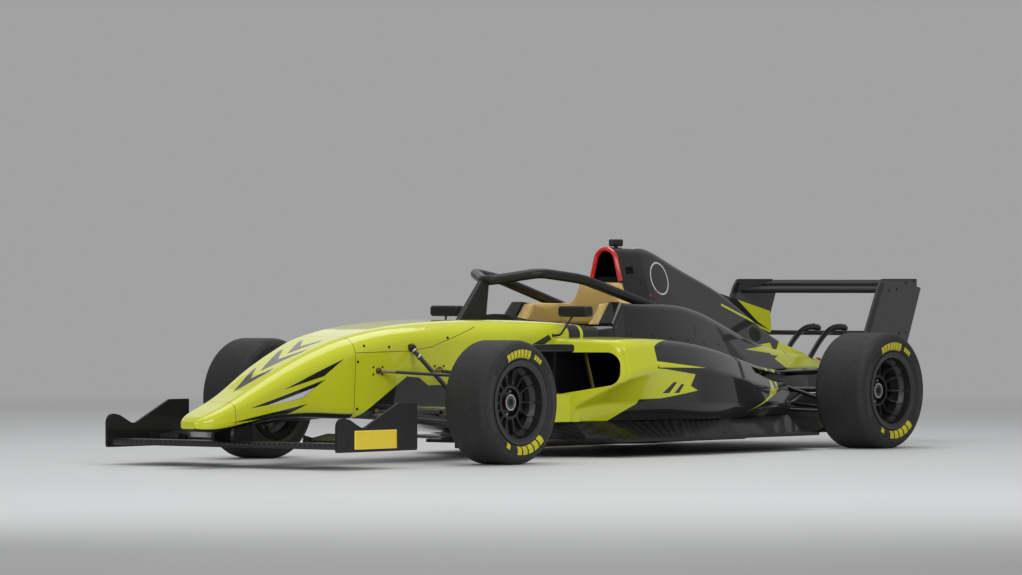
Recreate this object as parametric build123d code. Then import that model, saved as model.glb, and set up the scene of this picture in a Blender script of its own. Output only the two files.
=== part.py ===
from build123d import *
import os
from collections import namedtuple
from math import cos, radians, sin

# Open-wheel racing car in millimetres: +X forwards, +Y to the car's left, +Z up.
# The origin is on the ground, under the middle of the car's length.

# Overall sizes
NOSE_OVERHANG = 1266.0   # front axle to nose tip
WHEELBASE = 2860.0
TAIL_OVERHANG = 824.0    # rear axle to the back of the rear wing
FRONT_AXLE_X = (WHEELBASE + TAIL_OVERHANG - NOSE_OVERHANG) / 2
REAR_AXLE_X = FRONT_AXLE_X - WHEELBASE
GAP = 0.3                # between pieces that only sit against each other
RUNNING = 0.05           # radial play of a shaft in its bearing

# Wheels
Wheel = namedtuple("Wheel", "tyre_r tyre_w rim_w outer_y dish")
FRONT = Wheel(tyre_r=270.0, tyre_w=235.0, rim_w=203.0, outer_y=812.0, dish=52.0)
REAR = Wheel(tyre_r=275.0, tyre_w=285.0, rim_w=254.0, outer_y=832.0, dish=78.0)
RIM_SEAT_R = 165.0       # thirteen inch bead seat
RIM_LIP_R = 182.5
RIM_DROP_R = 148.0
RIM_WALL = 7.0
SPOKE_PAIRS = 7
PAIR_ANGLE = 24.0
SPOKE_T = 8.0
SPOKE_RIB = 8.0          # height of the rib that carries each spoke out to the lip
BOSS_R = 74.0            # outside of the rim's centre
WELL_R = 62.0            # well round the centre nut
WELL_DEPTH = 20.0
NUT_R = 30.0
TYRE_WALL = 12.0
TYRE_BEAD = 16.0
SHOULDER_R = 38.0

# Hub, brake and upright, measured inwards from the rim's mounting face
HUB_R = 50.0
HUB_DEPTH = 30.0
FLANGE_T = 12.0
DISC_R = 120.0
DISC_T = 14.0
STUB_R = 22.0
STUB_NUT_R = 30.0
STUB_NUT_T = 12.0
BEARING_R = 42.0         # outside of the upright's bearing housing
BEARING_IN = 86.0
BEARING_OUT = 38.0
KINGPIN_IN = 62.0        # mounting face to steering axis
BALL_RISE = 105.0        # axle height to each ball joint
BALL_EYE_R = 16.0
BALL_EYE_T = 22.0
BALL_PIN_R = 8.0
EAR_T = 11.0
EAR_GAP = 1.0
FORK_HALF = 16.0
CALIPER_GAP = 1.5
CALIPER_T = 18.0
CALIPER_HALF = 48.0
SHAFT_R = 13.0           # half shaft
SHAFT_JOINT_R = 38.0
SHAFT_BOOT_R = 34.0

# Steering
STEER_ARM = 85.0         # tie rod pin ahead of the axle
STEER_ARM_HALF = 8.0
TIE_PIN_R = 5.0
TIE_EYE_BORE_R = 10.0    # leaves room for the pin's arc
TIE_EYE_R = 17.0
TIE_EYE_T = 12.0
TIE_ROD_R = 8.0
TIE_DROP = 30.0          # tie rods below the axle
RACK_R = 12.0
RACK_HALF = 300.0
COLUMN_TILT = 12.0
COLUMN_R = 14.0
COLUMN_LENGTH = 200.0
STEER_WHEEL_BACK = 985.0  # behind the front axle
STEER_WHEEL_Z = 545.0
STEER_WHEEL_T = 30.0

# Suspension
LEG_CHORD = 26.0
LEG_T = 14.0
PUSHROD_R = 10.0

# Body levels and walls
FLOOR_Z = 70.0
FLOOR_T = 14.0
FLOOR_TOP = FLOOR_Z + FLOOR_T
DECK_TOP = 160.0         # raised part of the floor that the sidepods stand on
PLANK_T = 30.0
TUB_TOP = 592.0          # cockpit rim
TUB_LENGTH = 1880.0      # front axle to the tub's back
COVER_WALL = 10.0
FIN_T = 12.0
ENGINE_LENGTH = 600.0

# Cockpit
PAD_HALF = 253.0         # headrest pad's outer half width
PAD_INNER = 189.0
PAD_TOP = 700.0
HEADREST_TOP = 800.0
HALO_R = 23.0
SEAT_HALF = 200.0
SEAT_INNER = 150.0

# Wings
WING_SPAN = 1310.0
ENDPLATE_T = 12.0
REAR_PLATE_Y = 432.0
REAR_PLATE_T = 10.0
PYLON_T = 14.0

# Small fittings
MIRROR_R = 14.0
STALK_R = 5.0
TOW_EYE_R = 18.0
TOW_EYE_T = 10.0
TOW_EYE_WALL = 10.0
TOW_EYE_Z = 392.0


def ahead(distance):
    """X of a point this far ahead of the front axle."""
    return FRONT_AXLE_X + distance


def behind(distance):
    """X of a point this far behind the rear axle."""
    return REAR_AXLE_X - distance


def from_tip(distance):
    """X of a point this far behind the nose tip."""
    return FRONT_AXLE_X + NOSE_OVERHANG - distance


def from_tail(distance):
    """X of a point this far ahead of the car's rear end."""
    return REAR_AXLE_X - TAIL_OVERHANG + distance


def across(x, sweep=0.0):
    """Plane across the car, swept back by degrees: its own x is the car's left, its own y is up."""
    turn = radians(sweep)
    return Plane(origin=(x, 0, 0), x_dir=(-sin(turn), cos(turn), 0), z_dir=(cos(turn), sin(turn), 0))


def along(y):
    """Plane along the car at y: its own x is forwards, its own y is up."""
    return Plane(origin=(0, y, 0), x_dir=(1, 0, 0), z_dir=(0, -1, 0))


def rounded(corners, plane):
    """Face inside a closed run of corners, each a place in the plane and a rounding radius."""
    points = [(u, v) for u, v, _ in corners]
    radii = [r for _, _, r in corners]
    return plane * make_face(FilletPolyline(*points, radius=radii, close=True))


def both_sides(corners):
    """Outline in plan from the corners of its left half, front to back."""
    return corners + [(x, -y, r) for x, y, r in reversed(corners)]


def side_plate(corners, y, thickness):
    """Plate in the car's side view, its middle at y."""
    return extrude(rounded(corners, along(y)), thickness / 2, both=True)


def plan_plate(corners, z, thickness):
    """Plate seen in plan, standing on z."""
    return extrude(rounded(corners, Plane.XY.offset(z)), thickness)


def rod(start, end, radius):
    """Round bar between two points."""
    start, end = Vector(*start), Vector(*end)
    return extrude(Plane(origin=start, z_dir=end - start) * Circle(radius), (end - start).length)


def blade(start, end, chord, thickness):
    """Streamlined strut between two points, its chord along the car."""
    start, end = Vector(*start), Vector(*end)
    way = (end - start).normalized()
    fore = Vector(1, 0, 0) - way * way.X
    plane = Plane(origin=start, x_dir=fore, z_dir=way)
    return extrude(plane * SlotOverall(chord, thickness), (end - start).length)


def bent_tube(points, bends, radius):
    """Round tube along straight runs joined by bends."""
    path = FilletPolyline(*points, radius=bends)
    return sweep(Plane(origin=path @ 0, z_dir=path % 0) * Circle(radius), path)


def disc(radius, y_low, y_high):
    """Round plate about the wheel's axle."""
    return Plane(origin=(0, y_low, 0), z_dir=(0, 1, 0)) * extrude(Circle(radius), y_high - y_low)


def box(x, y, z):
    """Box between pairs of limits."""
    size = (x[1] - x[0], y[1] - y[0], z[1] - z[0])
    return Pos((x[0] + x[1]) / 2, (y[0] + y[1]) / 2, (z[0] + z[1]) / 2) * Box(*size)


def mirrored(left):
    """The same piece on the car's right."""
    return mirror(left, about=Plane.XZ)


def pair(left):
    """A piece on the car's left with its mirror image on the right."""
    return Compound([left, mirrored(left)])


# Wheels, hubs and uprights, built on the left with the axle on Y

def mounting_face(w):
    """Where the rim sits on its hub, from the middle of the rim."""
    return w.rim_w / 2 - w.dish - HUB_DEPTH


def wheel_centre_y(w):
    return w.outer_y - w.tyre_w / 2


def kingpin_y(w):
    return wheel_centre_y(w) + mounting_face(w) - KINGPIN_IN


def ring(half_section):
    """Ring about the axle from the corners (y, radius, rounding) of its outer half."""
    corners = half_section + [(-y, r, rounding) for y, r, rounding in reversed(half_section)]
    return revolve(rounded(corners, Plane.YZ), Axis.Y)


def tyre(w):
    """Slick tyre with rounded shoulders, hollow inside."""
    half, seat = w.tyre_w / 2, w.rim_w / 2 - GAP
    foot = RIM_SEAT_R + GAP
    bulge = RIM_LIP_R + 22
    inside = half - TYRE_WALL
    return ring([
        (inside - 3, w.tyre_r - TYRE_WALL, SHOULDER_R - TYRE_WALL),
        (inside, bulge + 2, 12),
        (seat - TYRE_BEAD, RIM_LIP_R + 6, 6),
        (seat - TYRE_BEAD, foot, 0),
        (seat, foot, 0),
        (seat, RIM_LIP_R + 2, 6),
        (half, bulge, 20),
        (half - 3, w.tyre_r, SHOULDER_R),
    ])


def rim(w):
    """Barrel with a drop centre, paired spokes that run out to the lip, and a nut in a well."""
    h = w.rim_w / 2
    face = h - w.dish
    back = mounting_face(w)
    drop_in, seat_in = RIM_DROP_R - RIM_WALL, RIM_SEAT_R - RIM_WALL
    barrel = ring([
        (h - 54, drop_in, 0),
        (h - 36, seat_in, 0),
        (h + 2, seat_in, 0),
        (h + RIM_WALL, RIM_LIP_R - 8, 0),
        (h + RIM_WALL, RIM_LIP_R, 0),
        (h, RIM_LIP_R, 0),
        (h, RIM_SEAT_R, 0),
        (h - 40, RIM_SEAT_R, 0),
        (h - 58, RIM_DROP_R, 0),
    ])
    root = (BOSS_R + WELL_R) / 2
    spoke_side = Polyline(
        (face - 1, root), (face - 4, drop_in - 22), (h - 56, drop_in - SPOKE_RIB),
        (h - 38, seat_in - SPOKE_RIB), (h - 6, seat_in - 1), (h - 6, seat_in + 3), (h - 35, seat_in + 3),
        (h - 53, drop_in + 3), (face - 28, drop_in + 3), (back, root), close=True)
    spoke = extrude(Plane.YZ * make_face(spoke_side), SPOKE_T / 2, both=True)
    step = 360 / SPOKE_PAIRS
    angles = [step * i + side * PAIR_ANGLE / 2 for i in range(SPOKE_PAIRS) for side in (-1, 1)]
    spokes = [spoke.rotate(Axis.Y, angle) for angle in angles]
    boss = disc(BOSS_R, back, face) - disc(WELL_R, face - WELL_DEPTH, face)
    nut_plane = Plane(origin=(0, face - WELL_DEPTH, 0), z_dir=(0, 1, 0))
    nut = nut_plane * extrude(RegularPolygon(NUT_R, 6), WELL_DEPTH + 2)
    return barrel + spokes + boss + nut


def hub(w):
    """Flange, brake disc and stub axle that turn with the wheel."""
    k = mounting_face(w)
    stub_end = k - BEARING_IN - STUB_NUT_T - EAR_GAP
    plate = disc(HUB_R, k - FLANGE_T, k)
    brake = disc(DISC_R, k - FLANGE_T - DISC_T, k - FLANGE_T)
    stub = disc(STUB_R, stub_end, k - FLANGE_T)
    nut = disc(STUB_NUT_R, stub_end, stub_end + STUB_NUT_T)
    return plate + brake + stub + nut


def driven_hub(w):
    """Hub with the half shaft that reaches in to the gearbox."""
    stub_end = mounting_face(w) - BEARING_IN - STUB_NUT_T
    inner = HALF_SHAFT_IN - wheel_centre_y(w)
    shaft = disc(SHAFT_R, inner, stub_end)
    joint = disc(SHAFT_JOINT_R, inner, inner + 60)
    boot = disc(SHAFT_BOOT_R, stub_end - 58, stub_end)
    return hub(w) + shaft + joint + boot


def caliper(w):
    """Brake caliper over the disc, behind the axle."""
    k = mounting_face(w)
    disc_in = k - FLANGE_T - DISC_T
    out, root = k - 5, disc_in - CALIPER_T
    band = disc(DISC_R + 14, root, out) - disc(DISC_R - 44, root, out)
    slot = disc(DISC_R + CALIPER_GAP, disc_in - CALIPER_GAP, k - FLANGE_T + CALIPER_GAP)
    reach = box((-DISC_R - 20, -HUB_R), (root, out), (-CALIPER_HALF, CALIPER_HALF))
    return (band - slot) & reach


def upright(w, has_arm):
    """Bearing housing with forks for both ball joints, the caliper and a steering arm."""
    k = mounting_face(w)
    pin_y = k - KINGPIN_IN
    disc_in = k - FLANGE_T - DISC_T
    shape = disc(BEARING_R, k - BEARING_IN, k - BEARING_OUT)
    web_y = (pin_y + BALL_EYE_R + 2, disc_in - 8)
    ear_low = BALL_RISE - BALL_EYE_T / 2 - EAR_GAP
    ear_high = BALL_RISE + BALL_EYE_T / 2 + EAR_GAP
    fork = box((-FORK_HALF, FORK_HALF), web_y, (BEARING_R - 12, ear_high + EAR_T))
    for z in (ear_low - EAR_T, ear_high):
        fork += box((1 - FORK_HALF, FORK_HALF - 1), (pin_y - 12, web_y[1]), (z, z + EAR_T))
    fork += rod((0, pin_y, ear_low - EAR_T), (0, pin_y, ear_high + EAR_T), BALL_PIN_R)
    shape += fork + mirror(fork, about=Plane.XY)
    bridge = box((30 - DISC_R, 10 - BEARING_R), (disc_in - CALIPER_T, k - BEARING_OUT + 4), (-20, 20))
    shape += caliper(w) + bridge
    if has_arm:
        arm_y = (pin_y - STEER_ARM_HALF, pin_y + STEER_ARM_HALF)
        arm_z = (-TIE_DROP - TIE_EYE_T - 10, -TIE_DROP - TIE_EYE_T / 2 - 3)
        shape += box((0, STEER_ARM + STEER_ARM_HALF), arm_y, arm_z)
        shape += box((0, BEARING_R), arm_y, (arm_z[0], 0))
        shape += rod((STEER_ARM, pin_y, arm_z[0]), (STEER_ARM, pin_y, TIE_EYE_T - TIE_DROP), TIE_PIN_R)
    return shape - disc(STUB_R + RUNNING, k - BEARING_IN - 1, disc_in)


def at_corner(shape, x, w):
    """Move a wheel piece from the axle's frame to its corner on the left."""
    return Pos(x, wheel_centre_y(w), w.tyre_r) * shape


def wishbone(w, x, rise, pickups):
    """Two streamlined legs from chassis pickups to the eye round a ball joint."""
    joint = Vector(x, kingpin_y(w), w.tyre_r + rise)
    eye = Pos(joint.X, joint.Y, joint.Z) * Cylinder(BALL_EYE_R, BALL_EYE_T)
    bore = Pos(joint.X, joint.Y, joint.Z) * Cylinder(BALL_PIN_R + RUNNING, BALL_EYE_T + 2)
    start = (joint.X, joint.Y - BALL_EYE_R / 2, joint.Z)
    legs = [blade(start, pickup, LEG_CHORD, LEG_T) for pickup in pickups]
    return eye + legs - bore


# Bodywork sections: place along the car, half width and height low and high, corner radius low and high
Section = namedtuple("Section", "x half_low half_high z_low z_high r_low r_high")
NOSE_JOINT = Section(ahead(390), 186, 200, 198, 553, 48, 86)
NOSE = [
    Section(from_tip(0), 40, 36, 170, 200, 13, 13),
    Section(from_tip(40), 78, 70, 158, 222, 26, 28),
    Section(from_tip(186), 102, 94, 164, 277, 36, 44),
    Section(from_tip(386), 126, 120, 194, 368, 42, 60),
    Section(from_tip(586), 154, 152, 208, 458, 46, 72),
    Section(from_tip(731), 171, 177, 204, 511, 47, 80),
    NOSE_JOINT,
]
TUB = [
    NOSE_JOINT,
    Section(ahead(0), 205, 226, 172, 606, 48, 90),
    Section(ahead(-400), 232, 262, 130, 622, 48, 90),
    Section(ahead(-800), 272, 300, 96, 616, 46, 70),
    Section(ahead(-1150), 300, 326, FLOOR_TOP, TUB_TOP, 40, 40),
    Section(ahead(-TUB_LENGTH), 285, 300, FLOOR_TOP, TUB_TOP, 40, 40),
]
SHOULDER = [
    Section(ahead(-1290), 346, 340, 520, TUB_TOP + 12, 10, 20),
    Section(ahead(-1370), 346, 330, 500, PAD_TOP, 10, 26),
    Section(ahead(-1850), 340, 306, 470, 684, 10, 40),
    Section(behind(-626), 300, 240, 400, 622, 10, 60),
    Section(behind(-210), 232, 170, 368, 514, 10, 66),
    Section(behind(240), 140, 100, 368, 446, 10, 36),
    Section(from_tail(299), 76, 60, 366, 398, 8, 12),
]
SPINE = [
    Section(ahead(-1850), 150, 62, 560, 952, 10, 52),
    Section(behind(-750), 150, 50, 540, 894, 10, 44),
    Section(behind(-510), 132, 42, 490, 812, 10, 36),
    Section(behind(-260), 110, 34, 440, 722, 10, 30),
    Section(behind(70), 80, 28, 400, 560, 8, 24),
    Section(behind(410), 60, 26, 372, 446, 8, 20),
    Section(from_tail(304), 44, 24, 370, 392, 6, 8),
]


def section_face(s):
    return rounded([
        (s.half_low, s.z_low, s.r_low), (s.half_high, s.z_high, s.r_high),
        (-s.half_high, s.z_high, s.r_high), (-s.half_low, s.z_low, s.r_low)], across(s.x))


def body_loft(sections):
    return loft([section_face(s) for s in sections])


def room_in(sections, wall):
    """Room inside a lofted body, open below."""
    inner = [Section(s.x, s.half_low - wall, s.half_high - wall, s.z_low - 6 * wall, s.z_high - wall,
                     s.r_low, max(s.r_high - wall, 3)) for s in sections]
    return body_loft(inner)


nose_cone = body_loft(NOSE)
below_floor = box((from_tail(0), from_tip(0)), (-WING_SPAN, WING_SPAN), (0, FLOOR_TOP))
tub_outer = body_loft(TUB) - below_floor

# Cockpit opening in plan, the footwell in front of it, and the bores for rack and column
cockpit_plan = both_sides([
    (ahead(-850), 130, 40), (ahead(-980), 225, 40), (ahead(-1560), 225, 40), (ahead(-1640), 150, 40)])
cockpit_room = plan_plate(cockpit_plan, DECK_TOP - 30, TUB_TOP)
footwell = box((ahead(-900), ahead(320)), (-160, 160), (225, 475))
rack_x, rack_z = ahead(STEER_ARM), FRONT.tyre_r - TIE_DROP
rack_bore = rod((rack_x, -RACK_HALF, rack_z), (rack_x, RACK_HALF, rack_z), RACK_R + RUNNING)
column_way = Vector(cos(radians(COLUMN_TILT)), 0, -sin(radians(COLUMN_TILT)))
wheel_centre = Vector(ahead(-STEER_WHEEL_BACK), 0, STEER_WHEEL_Z)
column_end = wheel_centre + column_way * COLUMN_LENGTH
column_bore = rod(wheel_centre, column_end + column_way * 2, COLUMN_R + RUNNING)
monocoque = tub_outer - cockpit_room - footwell - rack_bore - column_bore

# Engine cover: shoulders beside the headrest, a spine behind the intake, and a fin
fin = side_plate([
    (behind(-440), 700, 0), (behind(-440), 772, 4), (behind(146), 651, 8), (behind(163), 553, 20),
    (behind(80), 520, 0)], 0, FIN_T)
shoulder_front = loft([section_face(s) for s in SHOULDER[:2]], ruled=True)
cover_outer = shoulder_front + body_loft(SHOULDER[1:]) + body_loft(SPINE) + fin
cover_room = room_in(SHOULDER[2:-1], COVER_WALL) + room_in(SPINE[:-1], COVER_WALL)
pad_well = box((ahead(-1790), ahead(-1200)), (-PAD_HALF, PAD_HALF), (TUB_TOP - 200, HEADREST_TOP + 100))
cover_shell = cover_outer - pad_well
engine_cover = cover_shell - cover_room - tub_outer

# Halo: a loop on a front pillar, its feet on the cover's shoulders
halo_left = [(ahead(-1700), 262, 676), (ahead(-1180), 240, 806), (ahead(-930), 190, 834)]
halo_apex = (ahead(-765), 0, 796)
halo_points = halo_left + [halo_apex] + [(x, -y, z) for x, y, z in reversed(halo_left)]
halo_loop = bent_tube(halo_points, [600, 120, 60, 120, 600], HALO_R)
pillar = loft([Plane.XY.offset(TUB_TOP) * Pos(ahead(-647), 0) * SlotOverall(226, 34),
               Plane.XY.offset(halo_apex[2]) * Pos(ahead(-757), 0) * SlotOverall(66, 28)])
halo = halo_loop + pillar - tub_outer - cover_shell

# Headrest pad round the back of the cockpit: two slanted arms and a back that rises in the middle
PAD_BACK = ahead(-1688)
HEADREST_T = 88.0
arm_side = [
    (ahead(-1280), TUB_TOP, 6), (ahead(-1369), PAD_TOP, 20), (PAD_BACK, PAD_TOP, 0), (PAD_BACK, TUB_TOP, 0)]
pad_arm = side_plate(arm_side, (PAD_INNER + PAD_HALF) / 2, PAD_HALF - PAD_INNER)
back_face = rounded([
    (-PAD_HALF, TUB_TOP, 0), (PAD_HALF, TUB_TOP, 0), (PAD_HALF, PAD_TOP, 0), (140, PAD_TOP, 50),
    (94, HEADREST_TOP, 20), (-94, HEADREST_TOP, 20), (-140, PAD_TOP, 50), (-PAD_HALF, PAD_TOP, 0)],
    across(PAD_BACK))
headrest = extrude(back_face, HEADREST_T)
cockpit_surround = headrest + pad_arm + mirrored(pad_arm) - cover_shell - tub_outer - halo_loop

# Intake above the headrest
INTAKE_X = ahead(-1690)
INTAKE_DEPTH = 140.0
TRIM_DEPTH = 18.0
airbox_outer = body_loft([
    Section(INTAKE_X, 96, 52, PAD_TOP, 956, 6, 46),
    Section(ahead(-1850), 140, 62, PAD_TOP - 10, 952, 6, 52)])
mouth = extrude(section_face(Section(INTAKE_X + TRIM_DEPTH, 74, 36, 816, 938, 14, 32)), -INTAKE_DEPTH)
airbox = airbox_outer - mouth - cover_shell
intake_trim = extrude(section_face(Section(INTAKE_X, 92, 53, 802, 957, 6, 47)), TRIM_DEPTH) - mouth
CAMERA = (ahead(-1760), 0, 976)
camera_body = Pos(*CAMERA) * fillet(Box(60, 46, 34).edges(), 8)
camera_pod = camera_body + rod((CAMERA[0], 0, 940), CAMERA, 9) - airbox_outer

# Seat with low bolsters beside the driver's legs
seat_side = [
    (ahead(-1030), 150, 8), (ahead(-1440), 131, 60), (ahead(-1625), 560, 10), (ahead(-1560), 580, 10),
    (ahead(-1425), 285, 60), (ahead(-1030), 250, 20)]
seat_hollow = [
    (ahead(-1000), 190, 0), (ahead(-1396), 215, 60), (ahead(-1450), 300, 0), (ahead(-1300), 420, 0),
    (ahead(-1000), 420, 0)]
seat = side_plate(seat_side, 0, 2 * SEAT_HALF) - side_plate(seat_hollow, 0, 2 * SEAT_INNER)
seat = seat & cockpit_room

# Sidepods: x and sweep of each section, edge of the floor's deck, then the pod's corners
Pod = namedtuple("Pod", "x sweep edge foot neck neck_z belly belly_z top top_z inner_z")
PODS = [
    Pod(ahead(-764), 26, 474, 415, 425, 222, 666, 352, 630, 527, 545),
    Pod(ahead(-1150), 0, 600, 440, 470, 245, 618, 380, 580, 533, 548),
    Pod(ahead(-1500), 0, 640, 548, 594, 235, 616, 400, 548, 522, 540),
    Pod(ahead(-1850), 0, 645, 575, 606, 225, 596, 360, 505, 482, 508),
    Pod(behind(-640), 0, 600, 500, 535, 215, 510, 310, 415, 424, 448),
    Pod(behind(-250), 0, 470, 385, 408, 205, 396, 275, 338, 372, 388),
]
POD_ROOT = 150.0         # inside the tub and the engine cover
Duct = namedtuple("Duct", "x sweep y_in y_out z_in z_out z_high r_in r_out")
INLET = [
    Duct(ahead(-734), 26, 342, 640, 283, 330, 474, 20, 64),
    Duct(ahead(-1300), 0, 340, 560, 250, 335, 480, 30, 40),
    Duct(ahead(-1620), 0, 350, 530, 200, 230, 455, 30, 40),
]
OUTLET = [
    Duct(behind(-220), 0, 250, 365, 190, 200, 350, 20, 20),
    Duct(behind(-610), 0, 330, 450, 195, 205, 395, 20, 20),
]


def pod_face(p):
    return rounded([
        (POD_ROOT, DECK_TOP, 0), (p.foot, DECK_TOP, 6), (p.neck, p.neck_z, 40), (p.belly, p.belly_z, 46),
        (p.top, p.top_z, 60), (POD_ROOT, p.inner_z, 0)], across(p.x, p.sweep))


def deck_face(p):
    return rounded([
        (POD_ROOT, FLOOR_TOP, 0), (p.edge, FLOOR_TOP, 0), (p.foot, DECK_TOP, 0), (POD_ROOT, DECK_TOP, 0)],
        across(p.x, p.sweep))


def duct_face(d):
    return rounded([
        (d.y_in, d.z_in, d.r_in), (d.y_out, d.z_out, d.r_out), (d.y_out, d.z_high, d.r_out),
        (d.y_in, d.z_high, d.r_in)], across(d.x, d.sweep))


def lip_section(forward, inset):
    """The pod's front section moved forwards and drawn in, to round the inlet's lip."""
    p = PODS[0]
    return p._replace(
        x=p.x + forward, neck_z=p.neck_z + inset, belly=p.belly - inset, belly_z=p.belly_z + inset / 2,
        top=p.top - inset, top_z=p.top_z - inset, inner_z=p.inner_z - inset)


pod_lip = loft([pod_face(lip_section(0, 0)), pod_face(lip_section(12, 4)), pod_face(lip_section(20, 16))])
pod_outer = loft([pod_face(p) for p in PODS]) + pod_lip
duct = loft([duct_face(d) for d in INLET])
outlet = loft([duct_face(d) for d in OUTLET])

# A fairing above the inlet and a chin below it lead from the tub to the pod's lip
brow = plan_plate([
    (ahead(-640), 240, 0), (ahead(-640), 290, 10), (ahead(-690), 335, 30), (ahead(-820), 355, 60),
    (ahead(-1000), 405, 0), (ahead(-1000), 240, 0)], INLET[0].z_high, 38)
brow = fillet(brow.edges().filter_by(Plane.XY), 12)
chin = plan_plate([
    (ahead(-600), 220, 0), (ahead(-640), 290, 20), (ahead(-860), 335, 60), (ahead(-965), 388, 0),
    (ahead(-965), 220, 0)], DECK_TOP, INLET[0].z_in - DECK_TOP)
sidepod = pod_outer + brow + chin - duct - outlet - tub_outer - cover_shell
sidepod_left = sidepod
sidepod_right = mirrored(sidepod)
radiator = duct & Pos(ahead(-1560), 0, 0) * Rot(0, 18, 0) * Box(60, WING_SPAN, WING_SPAN)
radiators = pair(radiator)

# Floor with its raised decks, diffuser with strakes, and skid plank
floor_plan = both_sides([
    (ahead(-480), 120, 30), (ahead(-700), 200, 0), (ahead(-860), 330, 30), (ahead(-990), 610, 60),
    (ahead(-1500), 660, 0), (behind(-380), 668, 20), (behind(-350), 500, 20), (behind(-140), 490, 0)])
deck = loft([deck_face(p) for p in PODS], ruled=True) - tub_outer
DIFFUSER_HALF = 490.0
RAMP_START = behind(-141)
RAMP_END = behind(470)
RAMP_RISE = 232.0
ramp = side_plate([
    (RAMP_START, FLOOR_Z, 0), (RAMP_START, FLOOR_TOP, 0), (RAMP_END, RAMP_RISE + FLOOR_T, 0),
    (RAMP_END, RAMP_RISE, 0)], 0, 2 * DIFFUSER_HALF)
strake_side = [
    (RAMP_START - 21, FLOOR_Z + 4, 0), (RAMP_END, RAMP_RISE + 2, 0), (RAMP_END, 140, 10),
    (behind(100), FLOOR_Z + 4, 10)]
strakes = [side_plate(strake_side, y, 8) for y in (4 - DIFFUSER_HALF, -170, 170, DIFFUSER_HALF - 4)]
floor = plan_plate(floor_plan, FLOOR_Z, FLOOR_T) + deck + mirrored(deck) + ramp + strakes
plank_plan = both_sides([(ahead(-620), 60, 20), (ahead(-760), 150, 30), (behind(-260), 150, 4)])
skid_plank = plan_plate(plank_plan, FLOOR_Z - PLANK_T, PLANK_T)

# Engine, gearbox, and rear crash structure with rain light and tow eye
engine_front = ahead(-TUB_LENGTH)
engine_back = engine_front - ENGINE_LENGTH
engine = box((engine_back, engine_front), (-140, 140), (FLOOR_TOP, 420))
engine += box((engine_back + 60, engine_front - 50), (-90, 90), (420, 560))
GEARBOX_BACK = Section(behind(370), 78, 74, 262, 346, 20, 20)
gearbox = body_loft([
    Section(engine_back, 120, 110, 96, 400, 30, 30), Section(behind(0), 110, 104, 150, 378, 30, 30),
    GEARBOX_BACK])
HALF_SHAFT_IN = 116.0    # half shaft's inner end beside the gearbox
CRASH_BACK = from_tail(84)
crash_structure = body_loft([GEARBOX_BACK, Section(CRASH_BACK, 52, 48, 280, 338, 14, 14)])
crash_structure += box((CRASH_BACK - 40, CRASH_BACK), (-42, 42), (276, 346))
tow_x = from_tail(259)
tow_ring = Cylinder(TOW_EYE_R + TOW_EYE_WALL, TOW_EYE_T) - Cylinder(TOW_EYE_R, TOW_EYE_T)
crash_structure += Pos(tow_x, 0, TOW_EYE_Z) * Rot(90, 0, 0) * tow_ring
tow_stem = box((tow_x - 8, tow_x + 8), (-TOW_EYE_T / 2, TOW_EYE_T / 2), (320, TOW_EYE_Z - TOW_EYE_R - 4))
crash_structure += tow_stem


def aerofoil(front_x, front_z, back_x, back_z, thickness):
    """Side view of a wing element: round nose, thin straight tail."""
    r = thickness / 2
    return [(front_x, front_z - r, 0.9 * r), (front_x, front_z + r, 0.9 * r),
            (back_x, back_z + 2, 1), (back_x, back_z - 2, 1)]


def wing(element, y_low, y_high):
    return side_plate(element, (y_low + y_high) / 2, y_high - y_low)


# Front wing under the nose
wing_in = WING_SPAN / 2 - ENDPLATE_T
FLAP_ROOT = 230.0
front_main = wing(aerofoil(from_tip(216), 101, from_tip(486), 96, 30), -wing_in, wing_in)
front_flap = wing(aerofoil(from_tip(496), 110, from_tip(646), 138, 14), FLAP_ROOT, wing_in)
front_wing_planes = Compound([front_main, front_flap, mirrored(front_flap)])
front_plate = side_plate([
    (from_tip(200), 75, 10), (from_tip(200), 228, 40), (from_tip(281), 214, 60), (from_tip(371), 172, 60),
    (from_tip(606), 277, 20), (from_tip(735), 277, 6), (from_tip(735), 75, 10)],
    WING_SPAN / 2 - ENDPLATE_T / 2, ENDPLATE_T)
front_wing_endplates = pair(front_plate)
front_pylon = side_plate([
    (from_tip(226), 104, 0), (from_tip(246), 230, 0), (from_tip(346), 240, 0), (from_tip(336), 100, 0)],
    62, PYLON_T)
front_wing_pylons = pair(front_pylon - nose_cone - front_main)

# Rear wing on swan-neck pylons
rear_in = REAR_PLATE_Y - REAR_PLATE_T / 2
rear_main = wing(aerofoil(from_tail(314), 748, from_tail(124), 772, 24), -rear_in, rear_in)
rear_flap = wing(aerofoil(from_tail(132), 782, from_tail(19), 802, 12), -rear_in, rear_in)
rear_wing_planes = Compound([rear_main, rear_flap])
rear_beam_wing = wing(aerofoil(from_tail(222), 540, from_tail(92), 550, 26), -rear_in, rear_in)
rear_plate = side_plate([
    (from_tail(524), 478, 12), (from_tail(374), 770, 40), (from_tail(339), 808, 20), (from_tail(36), 808, 6),
    (from_tail(36), 769, 4), (from_tail(0), 765, 6), (from_tail(128), 478, 12)], REAR_PLATE_Y, REAR_PLATE_T)
rear_wing_endplates = pair(rear_plate)
rear_pylon = side_plate([
    (from_tail(215), 300, 4), (from_tail(243), 500, 30), (from_tail(199), 592, 30), (from_tail(83), 582, 6),
    (from_tail(83), 544, 4), (from_tail(165), 558, 16), (from_tail(203), 510, 10), (from_tail(175), 300, 4)],
    50, PYLON_T)
rear_wing_pylons = pair(rear_pylon - crash_structure - rear_beam_wing)

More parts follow.
